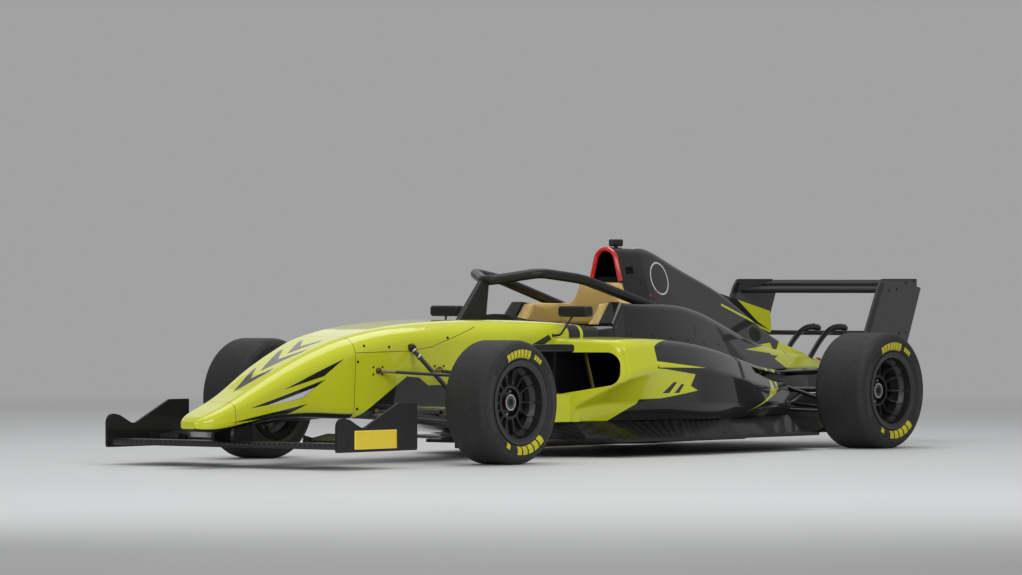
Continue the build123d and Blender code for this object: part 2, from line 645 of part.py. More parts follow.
# Mirrors on bent stalks
mirror_shell = Pos(ahead(-957), 372, 659) * fillet(Box(60, 165, 50).edges(), MIRROR_R)
stalk_points = [(ahead(-880), 280, 549), (ahead(-890), 338, 553), (ahead(-950), 370, 650)]
stalk = bent_tube(stalk_points, [18], STALK_R) + Pos(ahead(-881), 298, 550) * Sphere(2 * STALK_R)
mirrors = pair(mirror_shell + stalk - tub_outer)

# Suspension: chassis pickups of each wishbone, front leg first
front_high = wishbone(FRONT, FRONT_AXLE_X, BALL_RISE, [(ahead(246), 180, 405), (ahead(-150), 180, 405)])
front_low = wishbone(FRONT, FRONT_AXLE_X, -BALL_RISE, [(ahead(250), 170, 215), (ahead(-190), 180, 205)])
front_high -= tub_outer
front_low -= tub_outer
front_wishbones = Compound([front_high, front_low, mirrored(front_high), mirrored(front_low)])
front_push = rod((ahead(4), 560, 186), (ahead(37), 190, 530), PUSHROD_R)
front_pushrods = pair(front_push - tub_outer - front_low - front_high)
rear_block = gearbox + crash_structure + floor + sidepod
rear_high = wishbone(REAR, REAR_AXLE_X, BALL_RISE, [(behind(-220), 60, 350), (behind(180), 60, 340)])
rear_low = wishbone(REAR, REAR_AXLE_X, -BALL_RISE, [(behind(-220), 60, 190), (behind(100), 60, 215)])
rear_high -= rear_block
rear_low -= rear_block
rear_wishbones = Compound([rear_high, rear_low, mirrored(rear_high), mirrored(rear_low)])
rear_push = rod((behind(4), 560, 190), (behind(-100), 70, 344), PUSHROD_R)
rear_pushrods = pair(rear_push - rear_block - rear_low - rear_high)
rear_uprights = pair(at_corner(upright(REAR, False), REAR_AXLE_X, REAR))
upright_front_left = at_corner(upright(FRONT, True), FRONT_AXLE_X, FRONT)

# Rack with rigid tie rods, open at the outer eyes
tie_y = kingpin_y(FRONT)
tie_eye = Cylinder(TIE_EYE_R, TIE_EYE_T) - Cylinder(TIE_EYE_BORE_R, TIE_EYE_T)
tie_end = (rack_x, tie_y - TIE_EYE_BORE_R - 3, rack_z)
tie_rod = rod((rack_x, RACK_HALF - 5, rack_z), tie_end, TIE_ROD_R) + Pos(rack_x, tie_y, rack_z) * tie_eye
rack_bar = rod((rack_x, -RACK_HALF, rack_z), (rack_x, RACK_HALF, rack_z), RACK_R)
steering_rack = rack_bar + tie_rod + mirrored(tie_rod)

# Steering wheel on its column: a rounded block with two hand holes
wheel_plane = Plane(origin=wheel_centre, x_dir=(0, 1, 0), z_dir=column_way)
grip = rounded([(-140, -70, 50), (-140, 70, 50), (140, 70, 50), (140, -70, 50)], Plane.XY)
hand_hole = rounded([(-112, -44, 12), (-112, 44, 12), (-70, 44, 12), (-70, -44, 12)], Plane.XY)
wheel_flat = extrude(grip - hand_hole - mirror(hand_hole, about=Plane.YZ), STEER_WHEEL_T / 2, both=True)
steering_wheel = wheel_plane * wheel_flat + rod(wheel_centre, column_end, COLUMN_R)

nodes = dict(
    nose_cone=nose_cone, monocoque=monocoque, front_wing_planes=front_wing_planes,
    front_wing_endplates=front_wing_endplates, front_wing_pylons=front_wing_pylons, halo=halo,
    cockpit_surround=cockpit_surround, seat=seat, sidepod_left=sidepod_left, sidepod_right=sidepod_right,
    radiators=radiators, floor=floor, skid_plank=skid_plank, engine_cover=engine_cover, airbox=airbox,
    intake_trim=intake_trim, camera_pod=camera_pod, mirrors=mirrors, engine=engine, gearbox=gearbox,
    crash_structure=crash_structure, rear_wing_planes=rear_wing_planes, rear_beam_wing=rear_beam_wing,
    rear_wing_endplates=rear_wing_endplates, rear_wing_pylons=rear_wing_pylons,
    front_wishbones=front_wishbones, front_pushrods=front_pushrods, rear_wishbones=rear_wishbones,
    rear_pushrods=rear_pushrods, rear_uprights=rear_uprights, steering_rack=steering_rack,
    steering_wheel=steering_wheel, upright_front_left=upright_front_left,
    upright_front_right=mirrored(upright_front_left),
)
for axle, w, x, axle_hub in (("front", FRONT, FRONT_AXLE_X, hub), ("rear", REAR, REAR_AXLE_X, driven_hub)):
    for piece, shape in (("rim", rim(w)), ("tyre", tyre(w)), ("hub", axle_hub(w))):
        left = at_corner(shape, x, w)
        nodes[f"{piece}_{axle}_left"] = left
        nodes[f"{piece}_{axle}_right"] = mirrored(left)

os.makedirs("parts", exist_ok=True)
for name, shape in nodes.items():
    export_step(shape, f"parts/{name}.step")
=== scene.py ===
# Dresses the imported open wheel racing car: paint, carbon, rubber, pads and small fittings
import bpy
import math
from functools import reduce
from mathutils import Matrix, Vector


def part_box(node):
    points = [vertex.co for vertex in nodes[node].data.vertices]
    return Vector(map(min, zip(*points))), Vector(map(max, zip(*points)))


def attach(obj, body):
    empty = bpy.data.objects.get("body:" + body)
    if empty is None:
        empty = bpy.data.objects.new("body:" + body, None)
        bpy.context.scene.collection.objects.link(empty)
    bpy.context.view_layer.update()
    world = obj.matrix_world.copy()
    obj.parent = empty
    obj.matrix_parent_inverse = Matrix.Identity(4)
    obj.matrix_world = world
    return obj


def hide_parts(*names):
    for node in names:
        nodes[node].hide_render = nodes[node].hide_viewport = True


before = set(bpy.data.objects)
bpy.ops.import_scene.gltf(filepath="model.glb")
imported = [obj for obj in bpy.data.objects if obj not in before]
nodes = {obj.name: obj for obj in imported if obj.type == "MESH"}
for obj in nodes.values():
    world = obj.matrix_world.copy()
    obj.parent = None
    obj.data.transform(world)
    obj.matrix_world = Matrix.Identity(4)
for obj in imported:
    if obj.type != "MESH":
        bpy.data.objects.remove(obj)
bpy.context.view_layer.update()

frontAxle, rearAxle = 1.209, -1.651  # metres ahead of the frame's origin
sides = {"left": 1, "right": -1}
print("frame:", len(nodes), "nodes")

paints = {  # linear colours
    "lime": (0.60, 0.635, 0.020), "charcoal": (0.011, 0.011, 0.012), "black": (0.004, 0.004, 0.005),
    "pale": (0.62, 0.63, 0.64), "red": (0.62, 0.012, 0.010), "seam": (0.012, 0.012, 0.008),
}


class Finish:
    # a Principled material with masks worked out from the piece's own place in metres
    def __init__(self, name, colour, rough, metal=0.0, coat=0.0, coatRough=0.04, sheen=0.0, shine=0.5):
        self.material = bpy.data.materials.new(name)
        self.material.use_nodes = True
        self.tree = self.material.node_tree
        self.shader = self.tree.nodes["Principled BSDF"]
        self.normal = None
        self.colour = (*colour, 1)
        for socket, value in (("Base Color", self.colour), ("Roughness", rough), ("Metallic", metal),
                              ("Coat Weight", coat), ("Coat Roughness", coatRough), ("Sheen Weight", sheen),
                              ("Specular IOR Level", shine)):
            self.shader.inputs[socket].default_value = value
        self.place = self.node("ShaderNodeTexCoord").outputs["Object"]
        apart = self.node("ShaderNodeSeparateXYZ")
        self.link(self.place, apart.inputs[0])
        self.x, self.y, self.z = apart.outputs
        self.reach = self.calc("ABSOLUTE", self.y)  # distance from the middle of the car

    def node(self, kind, **settings):
        made = self.tree.nodes.new(kind)
        for key, value in settings.items():
            setattr(made, key, value)
        return made

    def link(self, source, socket):
        self.tree.links.new(source, socket)

    def feed(self, source, socket):
        if isinstance(source, bpy.types.NodeSocket):
            self.link(source, socket)
        else:
            socket.default_value = source

    def calc(self, step, a, b=0.0, c=0.0, clamp=False):
        made = self.node("ShaderNodeMath", operation=step, use_clamp=clamp)
        for source, socket in zip((a, b, c), made.inputs):
            self.feed(source, socket)
        return made.outputs[0]

    def past(self, value, limit, soft=0.0015):
        return self.calc("MULTIPLY_ADD", value, 1 / soft, 0.5 - limit / soft, clamp=True)

    def below(self, value, limit, soft=0.0015):
        return self.calc("MULTIPLY_ADD", value, -1 / soft, 0.5 + limit / soft, clamp=True)

    def both(self, *masks):
        return reduce(lambda a, b: self.calc("MINIMUM", a, b), masks)

    def either(self, *masks):
        return reduce(lambda a, b: self.calc("MAXIMUM", a, b), masks)

    def unless(self, mask, hole):
        return self.calc("MINIMUM", mask, self.calc("SUBTRACT", 1.0, hole))

    def band(self, value, low, high, soft=0.0015):
        return self.both(self.past(value, low, soft), self.below(value, high, soft))

    def beside(self, start, end, u, v):  # distance to the left of a line
        run = math.dist(start, end)
        across, along = -(end[1] - start[1]) / run, (end[0] - start[0]) / run
        offset = -(start[0] * across + start[1] * along)
        return self.calc("MULTIPLY_ADD", u, across, self.calc("MULTIPLY_ADD", v, along, offset))

    def patch(self, corners, u=None, v=None, soft=0.0015):  # convex; x from the front axle
        u, v = u or self.x, v or self.z
        shift = frontAxle if u == self.x else 0.0
        ring = [(a + shift, b) for a, b in corners]
        turn = sum(p[0] * q[1] - q[0] * p[1] for p, q in zip(ring, ring[1:] + ring[:1]))
        ring = ring if turn > 0 else ring[::-1]
        inside = self.both(*[self.beside(p, q, u, v) for p, q in zip(ring, ring[1:] + ring[:1])])
        return self.past(inside, 0.0, soft)

    def shards(self, group, u=None, v=None):
        return self.either(*[self.patch(corners, u, v) for corners in group])

    def stroke(self, start, end, width):
        run = math.dist(start, end)
        across = [-(end[1] - start[1]) / run * width / 2, (end[0] - start[0]) / run * width / 2]
        ends = ((start, 1), (start, -1), (end, -1), (end, 1))
        corners = [(p[0] + k * across[0], p[1] + k * across[1]) for p, k in ends]
        return self.patch(corners, soft=min(0.0015, width / 2))

    def radius(self, u, v, uMid, vMid):
        du, dv = self.calc("SUBTRACT", u, uMid), self.calc("SUBTRACT", v, vMid)
        return self.calc("SQRT", self.calc("MULTIPLY_ADD", du, du, self.calc("MULTIPLY", dv, dv)))

    def wave(self, value, pitch):
        return self.calc("SINE", self.calc("MULTIPLY", value, 2 * math.pi / pitch))

    def cloud(self, scale, detail=3.0, stretch=(1, 1, 1)):
        made = self.node("ShaderNodeTexNoise")
        made.inputs["Scale"].default_value, made.inputs["Detail"].default_value = scale, detail
        spread = self.node("ShaderNodeMapping")
        spread.inputs["Scale"].default_value = stretch
        self.link(self.place, spread.inputs["Vector"])
        self.link(spread.outputs[0], made.inputs["Vector"])
        return made.outputs["Fac"]

    def tint(self, mask, low, high):
        made = self.node("ShaderNodeMix", data_type="RGBA")
        for source, socket in ((mask, made.inputs[0]), (low, made.inputs[6]), (high, made.inputs[7])):
            self.feed((*source, 1) if isinstance(source, tuple) and len(source) == 3 else source, socket)
        return made.outputs[2]

    def lay(self, mask, colour):  # paints a colour over what is there
        self.colour = self.tint(mask, self.colour, colour)
        self.link(self.colour, self.shader.inputs["Base Color"])

    def mottle(self, scale, low, high, detail=3.0, stretch=(1, 1, 1)):
        grain = self.cloud(scale, detail, stretch)
        level = self.calc("MULTIPLY_ADD", grain, high - low, low)
        made = self.node("ShaderNodeMix", data_type="RGBA", blend_type="MULTIPLY")
        made.inputs[0].default_value = 1.0
        self.feed(self.colour, made.inputs[6])
        self.link(level, made.inputs[7])
        self.colour = made.outputs[2]
        self.link(self.colour, self.shader.inputs["Base Color"])

    def polish(self, low, high, scale=40.0, detail=4.0, stretch=(1, 1, 1)):  # uneven roughness
        level = self.calc("MULTIPLY_ADD", self.cloud(scale, detail, stretch), high - low, low)
        self.link(level, self.shader.inputs["Roughness"])

    def rougher(self, mask, low, high):
        self.link(self.calc("MULTIPLY_ADD", mask, high - low, low), self.shader.inputs["Roughness"])

    def bare(self, mask):  # leaves the lacquer off
        weight = self.shader.inputs["Coat Weight"].default_value
        left = self.calc("MULTIPLY_ADD", mask, -weight, weight)
        self.link(left, self.shader.inputs["Coat Weight"])

    def dent(self, height, depth):
        made = self.node("ShaderNodeBump")
        made.inputs["Distance"].default_value = depth
        self.link(height, made.inputs["Height"])
        if self.normal:
            self.link(self.normal, made.inputs["Normal"])
        self.normal = made.outputs[0]
        self.link(self.normal, self.shader.inputs["Normal"])


def dress(finish, *names):
    for name in names:
        for slot in nodes[name].material_slots:
            slot.material = finish.material


def paintwork(name, colour):
    return Finish(name, colour, 0.34, coat=0.9, coatRough=0.03, shine=0.15)


def coatOver(f, seams=None):  # last layers of every painted skin
    if seams is not None:
        f.lay(seams, paints["seam"])
        f.dent(f.calc("SUBTRACT", 1.0, seams), 0.0012)
    f.mottle(9.0, 0.96, 1.04)
    f.polish(0.28, 0.40, 26.0)
    f.dent(f.cloud(420.0, 1.0), 0.00005)  # orange peel


# Nose: lime with dark angular shards, a seam round the cap and a black underside that is partly paint and
# partly painted shade
noseArt = {
    "flank": [[(1.10, 0.192), (0.66, 0.268), (0.80, 0.216)], [(0.99, 0.252), (0.56, 0.372), (0.70, 0.290)],
              [(0.80, 0.330), (0.46, 0.460), (0.57, 0.385)]],
    "pale": [(0.90, 0.262), (0.62, 0.338), (0.70, 0.292)],
    "top": [[(0.98, 0.0), (0.80, 0.052), (0.76, 0.052), (0.86, 0.0)],
            [(0.80, 0.0), (0.60, 0.070), (0.56, 0.070), (0.68, 0.0)],
            [(0.62, 0.0), (0.47, 0.060), (0.44, 0.060), (0.53, 0.0)]],
    "capSeam": 1.071, "jointSeam": 0.390,
}


def noseFinish():
    f = paintwork("nosePaint", paints["lime"])
    facing = f.node("ShaderNodeSeparateXYZ")
    f.link(f.node("ShaderNodeNewGeometry").outputs["Normal"], facing.inputs[0])
    f.lay(f.shards(noseArt["flank"]), paints["charcoal"])
    f.lay(f.patch(noseArt["pale"]), paints["pale"])
    upper = f.past(facing.outputs[2], 0.55, 0.1)
    f.lay(f.both(upper, f.shards(noseArt["top"], f.x, f.reach)), paints["charcoal"])
    # downward-facing faces painted black with the lacquer left off: partly real black underside, partly
    # painted shade
    under = f.below(facing.outputs[2], -0.55, 0.12)
    f.lay(under, paints["black"])
    f.bare(under)
    seams = f.either(*[f.band(f.x, x + frontAxle - 0.0011, x + frontAxle + 0.0011, 0.0008)
                       for x in (noseArt["capSeam"], noseArt["jointSeam"])])
    coatOver(f, seams)
    dress(f, "nose_cone")


# Tub: lime above, black below the wishbones and along the cockpit, painted shade inside
tubArt = {
    "diagonal": [(0.40, 0.182), (0.054, 0.378), (-0.026, 0.371), (-0.026, 0.05), (0.40, 0.05)],
    "step": [(-0.024, 0.371), (-0.083, 0.338), (-0.083, 0.05), (-0.024, 0.05)],
    "belly": (-0.082, 0.337),  # dark behind and below
    "flash": [(-0.735, 0.508), (-0.851, 0.555), (-0.871, 0.533), (-0.800, 0.500)],
    "hatch": [(0.390, 0.484), (0.042, 0.489), (-0.092, 0.505), (-0.395, 0.592)],
    "strip": (-1.083, -1.063), "darkFrom": -0.986, "inletFrom": -0.80,
    "inletTop": 0.505, "legRoom": (0.22, 0.478),
    "cockpit": (-1.646, -0.842, 0.2265), "footwell": (-0.905, 0.325, 0.162),  # back, front, half width
}


def tubFinish():
    f = paintwork("tubPaint", paints["lime"])
    x, z = tubArt["belly"]
    belly = f.both(f.below(f.x, x + frontAxle), f.below(f.z, z))
    f.lay(f.either(f.shards([tubArt["diagonal"], tubArt["step"]]), belly), paints["charcoal"])
    f.lay(f.patch(tubArt["flash"]), paints["charcoal"])
    rear = f.below(f.x, tubArt["darkFrom"] + frontAxle)
    strip = f.band(f.x, *[x + frontAxle for x in tubArt["strip"]])
    f.lay(f.unless(rear, strip), paints["charcoal"])
    back, front, half = tubArt["cockpit"]
    room = f.both(f.band(f.x, back + frontAxle, front + frontAxle), f.below(f.reach, half), f.past(f.z, 0.1))
    back, front, half = tubArt["footwell"]
    legs = f.both(f.band(f.x, back + frontAxle, front + frontAxle), f.below(f.reach, half))
    legs = f.both(legs, f.band(f.z, *tubArt["legRoom"]))
    inlet = f.both(f.below(f.x, tubArt["inletFrom"] + frontAxle), f.below(f.z, tubArt["inletTop"]))
    # painted shade: the cockpit, footwell and inlet hollows are painted black with the lacquer left off so
    # they read dark
    dark = f.either(room, legs, inlet)
    f.lay(dark, paints["black"])
    f.bare(dark)
    hatch = tubArt["hatch"]
    seams = f.either(*[f.stroke(p, q, 0.0024) for p, q in zip(hatch, hatch[1:])])
    seams = f.either(f.both(seams, f.past(f.reach, 0.12)),
                     f.band(f.x, noseArt["jointSeam"] + frontAxle - 0.0014, 3.0, 0.0008))
    coatOver(f, seams)
    dress(f, "monocoque")


# Sidepods: lime lip and undercut running back in points over charcoal
podArt = {
    "edges": [[(-1.272, 0.51), (-1.262, 0.43)], [(-1.297, 0.276), (-1.112, 0.157)]],  # back of the lime front
    "topFlash": [(-1.15, 0.62), (-1.430, 0.533), (-1.30, 0.28), (-1.15, 0.28)],
    "needle": [(-1.245, 0.434), (-1.640, 0.3975), (-1.27, 0.404)],
    "flash": [[(-1.22, 0.402), (-1.315, 0.396), (-1.550, 0.369), (-1.521, 0.316), (-1.22, 0.30)],
              [(-1.22, 0.32), (-1.521, 0.317), (-1.625, 0.272), (-1.350, 0.262), (-1.20, 0.24)]],
    "bars": [[(-1.35, 0.285), (-1.40, 0.335), (-1.425, 0.335), (-1.39, 0.285)],
             [(-1.42, 0.285), (-1.455, 0.325), (-1.475, 0.325), (-1.45, 0.285)]],
    "rear": [[(-2.60, 0.395), (-2.570, 0.395), (-2.440, 0.283), (-2.455, 0.278)],
             [(-2.44, 0.292), (-2.425, 0.272), (-2.03, 0.187)],
             [(-2.50, 0.385), (-2.47, 0.385), (-2.40, 0.318)],
             [(-2.38, 0.262), (-2.30, 0.262), (-2.42, 0.330), (-2.44, 0.320)]],
    "lip": (-0.744, 0.4877),  # place on the car's middle and sweep of the inlet's edge
    "duct": [(0.300, 0.478), (0.548, 0.478), (0.579, 0.442), (0.579, 0.365), (0.548, 0.3235), (0.300, 0.280)],
}


def podFinish():
    f = paintwork("podPaint", paints["charcoal"])
    edges = [[(x + frontAxle, z) for x, z in edge] for edge in podArt["edges"]]
    front = f.both(*[f.past(f.beside(*edge, f.x, f.z), 0.0) for edge in edges])
    top = f.both(f.patch(podArt["topFlash"], f.x, f.reach), f.past(f.z, 0.490))
    f.lay(f.either(front, top, f.shards([podArt["needle"]] + podArt["flash"])), paints["lime"])
    f.lay(f.shards(podArt["bars"]), paints["charcoal"])
    f.lay(f.shards(podArt["rear"]), paints["lime"])
    lipX, sweep = podArt["lip"]
    ahead = f.calc("SUBTRACT", f.x, f.calc("MULTIPLY_ADD", f.reach, -sweep, frontAxle + lipX))
    # painted shade: the inlet's inner walls are painted black with the lacquer left off so the opening reads
    # dark
    duct = f.both(f.patch(podArt["duct"], f.reach, f.z), f.below(ahead, -0.012, 0.004))
    duct = f.both(duct, f.past(f.x, frontAxle - 1.45))
    brow = f.both(f.past(ahead, 0.002), f.past(f.z, 0.45))
    root = f.both(f.below(f.reach, 0.328), f.band(f.z, 0.287, 0.500), f.past(f.x, frontAxle - 1.1))
    f.lay(f.either(brow, duct, root), paints["black"])
    f.bare(duct)
    coatOver(f)
    dress(f, "sidepod_left", "sidepod_right")


# Engine cover: charcoal, lime fin and tail, a plain white roundel and a red ring
coverArt = {
    "fin": [(-2.69, 0.735), (-3.06, 0.67), (-3.06, 0.535), (-2.907, 0.598)],
    "spineLine": [(-2.530, 0.684), (-3.015, 0.549)],
    "tail": [[(-2.49, 0.471), (-2.95, 0.497), (-2.965, 0.44), (-2.77, 0.450)],
             [(-2.77, 0.455), (-2.80, 0.425), (-2.91, 0.372), (-3.00, 0.360), (-2.965, 0.44)],
             [(-2.91, 0.372), (-3.42, 0.350), (-3.42, 0.42), (-3.06, 0.515), (-2.965, 0.44)]],
    "notch": [(-2.62, 0.452), (-2.80, 0.420), (-2.86, 0.436)],
    "roundel": (-1.984, 0.809, 0.070, 0.0775), "ring": (-1.938, 0.727, 0.0225, 0.0265),
    "slot": (-1.969, -1.962, 0.539, 0.591), "darkOval": (-2.815, 0.540, 0.060),
    "arrow": [(-1.877, 0.740), (-1.894, 0.733), (-1.879, 0.723)],
    "airboxSeam": [(-1.742, 0.965), (-1.905, 0.703)], "hem": (-1.972, -1.9695, 0.53, 0.63),
}


def coverFinish():
    f = paintwork("coverPaint", paints["charcoal"])
    fin = f.patch(coverArt["fin"])
    line = f.stroke(*coverArt["spineLine"], 0.011)
    tail = f.unless(f.shards(coverArt["tail"]), f.patch(coverArt["notch"]))
    f.lay(f.either(fin, line, tail), paints["lime"])
    for key, colour in (("roundel", paints["pale"]), ("ring", (0.20, 0.006, 0.008))):
        x, z, inner, outer = coverArt[key]
        f.lay(f.band(f.radius(f.x, f.z, x + frontAxle, z), inner, outer), colour)
    back, front, low, high = coverArt["slot"]
    slot = f.both(f.band(f.x, back + frontAxle, front + frontAxle), f.band(f.z, low, high))
    f.lay(slot, (0.07, 0.003, 0.004))
    # a near-black oval patch with slat bumps, its lacquer left off
    x, z, size = coverArt["darkOval"]
    oval = f.radius(f.x, f.calc("MULTIPLY", f.z, 1.7), x + frontAxle, z * 1.7)
    darkOval = f.both(f.below(oval, size, 0.004), f.below(f.reach, 0.07))
    slats = f.wave(f.z, 0.011)
    f.lay(darkOval, (0.002, 0.002, 0.002))
    f.bare(f.either(darkOval, slot))
    f.dent(f.both(darkOval, f.calc("MULTIPLY_ADD", slats, 0.5, 0.5)), 0.003)
    f.lay(f.patch(coverArt["arrow"]), paints["red"])
    back, front, low, high = coverArt["hem"]
    hem = f.both(f.band(f.x, back + frontAxle, front + frontAxle, 0.0008), f.band(f.z, low, high))
    hem = f.both(hem, f.past(f.reach, 0.2))
    coatOver(f, f.either(slot, f.stroke(*coverArt["airboxSeam"], 0.0032), hem))
    dress(f, "engine_cover")


airboxArt = {
    "taper": 0.31, "wall": 0.3285, "throat": (0.795, 0.939), "depth": -1.835, "step": (0.7735, 0.7760),
}


def airboxFinish():
    f = paintwork("airboxPaint", paints["charcoal"])
    low, high = [(x + frontAxle, z) for x, z in reversed(coverArt["airboxSeam"])]
    f.lay(f.below(f.beside(low, high, f.x, f.z), 0.0), (0.010, 0.010, 0.011))
    # painted shade: the inside of the intake, and the face round its mouth, painted black with the lacquer
    # left off so the opening reads dark
    walls = f.below(f.calc("MULTIPLY_ADD", f.z, airboxArt["taper"], f.reach), airboxArt["wall"])
    throat = f.both(walls, f.band(f.z, *airboxArt["throat"]), f.past(f.x, frontAxle + airboxArt["depth"]))
    f.lay(throat, paints["black"])
    f.bare(throat)
    step = f.both(f.band(f.z, *airboxArt["step"], 0.0008), f.past(f.reach, 0.05))
    coatOver(f, f.either(step, f.stroke(*coverArt["airboxSeam"], 0.0032)))
    dress(f, "airbox")


noseFinish()
tubFinish()
podFinish()
coverFinish()
airboxFinish()
print("paint: nose, tub, sidepods, engine cover and airbox")


# Carbon: a two by two twill under lacquer, each way of the cloth following one or two axes
def twill(name, plane, tow, dark, light, rough, coat, coatRough=0.06):
    f = Finish(name, dark, rough, coat=coat, coatRough=coatRough, shine=0.25)
    u, v = [reduce(lambda a, b: f.calc("ADD", a, b), [getattr(f, axis) for axis in axes]) for axes in plane]
    u, v = f.calc("MULTIPLY", u, 1 / tow), f.calc("MULTIPLY", v, 1 / tow)
    cellU, cellV = f.calc("FLOOR", u), f.calc("FLOOR", v)
    step = f.calc("FLOORED_MODULO", f.calc("ADD", cellU, cellV), 4.0)
    over = f.calc("LESS_THAN", step, 2.0)
    crowns = []
    for value, cell in ((u, cellU), (v, cellV)):
        off = f.calc("SUBTRACT", f.calc("SUBTRACT", value, cell), 0.5)
        crowns.append(f.calc("MULTIPLY_ADD", f.calc("MULTIPLY", off, off), -4.0, 1.0))
    warp = f.calc("MULTIPLY", over, crowns[0])
    weft = f.calc("MULTIPLY", f.calc("SUBTRACT", 1.0, over), crowns[1])
    height = f.calc("ADD", warp, weft)
    f.lay(over, light)
    f.lay(f.calc("MULTIPLY", f.below(height, 0.30, 0.3), 0.7), tuple(c * 0.45 for c in dark))
    f.mottle(7.0, 0.85, 1.15)
    f.rougher(over, rough, rough + 0.10)
    f.dent(height, tow * 0.03)
    return f


carbonDark, carbonLight = (0.005, 0.005, 0.0055), (0.016, 0.016, 0.017)
floorCarbon = twill("floorCarbon", ("xz", "yz"), 0.009, carbonDark, carbonLight, 0.40, 0.30)
wingCarbon = twill("wingCarbon", ("xz", "y"), 0.007, carbonDark, (0.030, 0.030, 0.031), 0.36, 0.45)
plateDark, plateLight = (0.007, 0.007, 0.0075), (0.012, 0.012, 0.0125)
plateCarbon = twill("plateCarbon", ("xy", "zy"), 0.007, plateDark, plateLight, 0.44, 0.20)
strutCarbon = twill("strutCarbon", ("xy", "zy"), 0.006, carbonDark, carbonLight, 0.40, 0.30)
haloDark, haloLight = (0.006, 0.006, 0.0065), (0.015, 0.015, 0.0155)
haloCarbon = twill("haloCarbon", ("xz", "yz"), 0.006, haloDark, haloLight, 0.42, 0.25, 0.18)
dress(floorCarbon, "floor")
rearCarbon = twill("rearCarbon", ("xz", "y"), 0.007, (0.013, 0.013, 0.0135), (0.021, 0.021, 0.022), 0.62, 0.0)
# painted sheen: the beam wing's carbon is a lighter copy of the wing carbon, standing in for the light its
# top catches
beamCarbonPaintedSheen = twill("beamCarbonPaintedSheen", ("xz", "y"), 0.007, (0.024, 0.024, 0.025), (0.032, 0.032, 0.033), 0.34, 0.60)
dress(wingCarbon, "front_wing_planes")
dress(rearCarbon, "rear_wing_planes")
dress(beamCarbonPaintedSheen, "rear_beam_wing")
dress(plateCarbon, "front_wing_endplates")
dress(strutCarbon, "front_wing_pylons")
dress(haloCarbon, "halo", "mirrors", "camera_pod")


rearPlateArt = {"edge": [(-3.166, 0.478), (-3.205, 0.478), (-3.365, 0.79), (-3.33, 0.79)], "top": 0.800}


def rearPlateFinish():
    f = Finish("rearPlatePaint", (0.048, 0.049, 0.053), 0.36, coat=0.6, shine=0.2)
    f.lay(f.patch(rearPlateArt["edge"]), paints["charcoal"])
    f.lay(f.past(f.z, rearPlateArt["top"]), paints["charcoal"])
    f.mottle(14.0, 0.92, 1.08)
    f.polish(0.30, 0.46, 30.0)
    f.dent(f.cloud(500.0, 1.0), 0.00004)
    dress(f, "rear_wing_endplates")


towEye = {"mid": (-3.425, 0.392), "radius": 0.034, "foot": 0.352, "half": 0.012}


def crashFinish():
    f = twill("crashCarbon", ("xy", "zy"), 0.008, carbonDark, carbonLight, 0.36, 0.5)
    x, z = towEye["mid"]
    eye = f.both(f.below(f.radius(f.x, f.z, x + frontAxle, z), towEye["radius"]), f.past(f.z, towEye["foot"]))
    f.lay(f.both(eye, f.below(f.reach, towEye["half"])), paints["red"])
    dress(f, "crash_structure")


rearPlateFinish()
crashFinish()
print("carbon: wings, floor, halo and crash structure")


# Tyres: slick rubber with moulded rings and plain yellow marks on the outer wall
tyreLook = {
    "rubber": (0.017, 0.017, 0.0175), "lemon": (0.62, 0.565, 0.018), "raised": (0.050, 0.050, 0.050),
    "rings": (0.1865, 0.2400, 0.2450),
    # from and to in degrees forward of the top, number of bars, inner and outer radius
    "marks": [(-16.5, 29.0, 7, 0.194, 0.230), (-38.0, -23.0, 3, 0.204, 0.225),
              (170.0, 180.0, 1, 0.191, 0.228), (-180.0, -137.0, 4, 0.191, 0.228),
              (148.0, 157.0, 1, 0.196, 0.222)],
    "moulded": [(58.0, 122.0, 22, 0.216, 0.234), (-122.0, -58.0, 22, 0.216, 0.234)],
}
axles = {"front": (frontAxle, 0.27), "rear": (rearAxle, 0.275)}
wheels = {f"{axle}_{side}": (x, z, sign) for axle, (x, z) in axles.items() for side, sign in sides.items()}


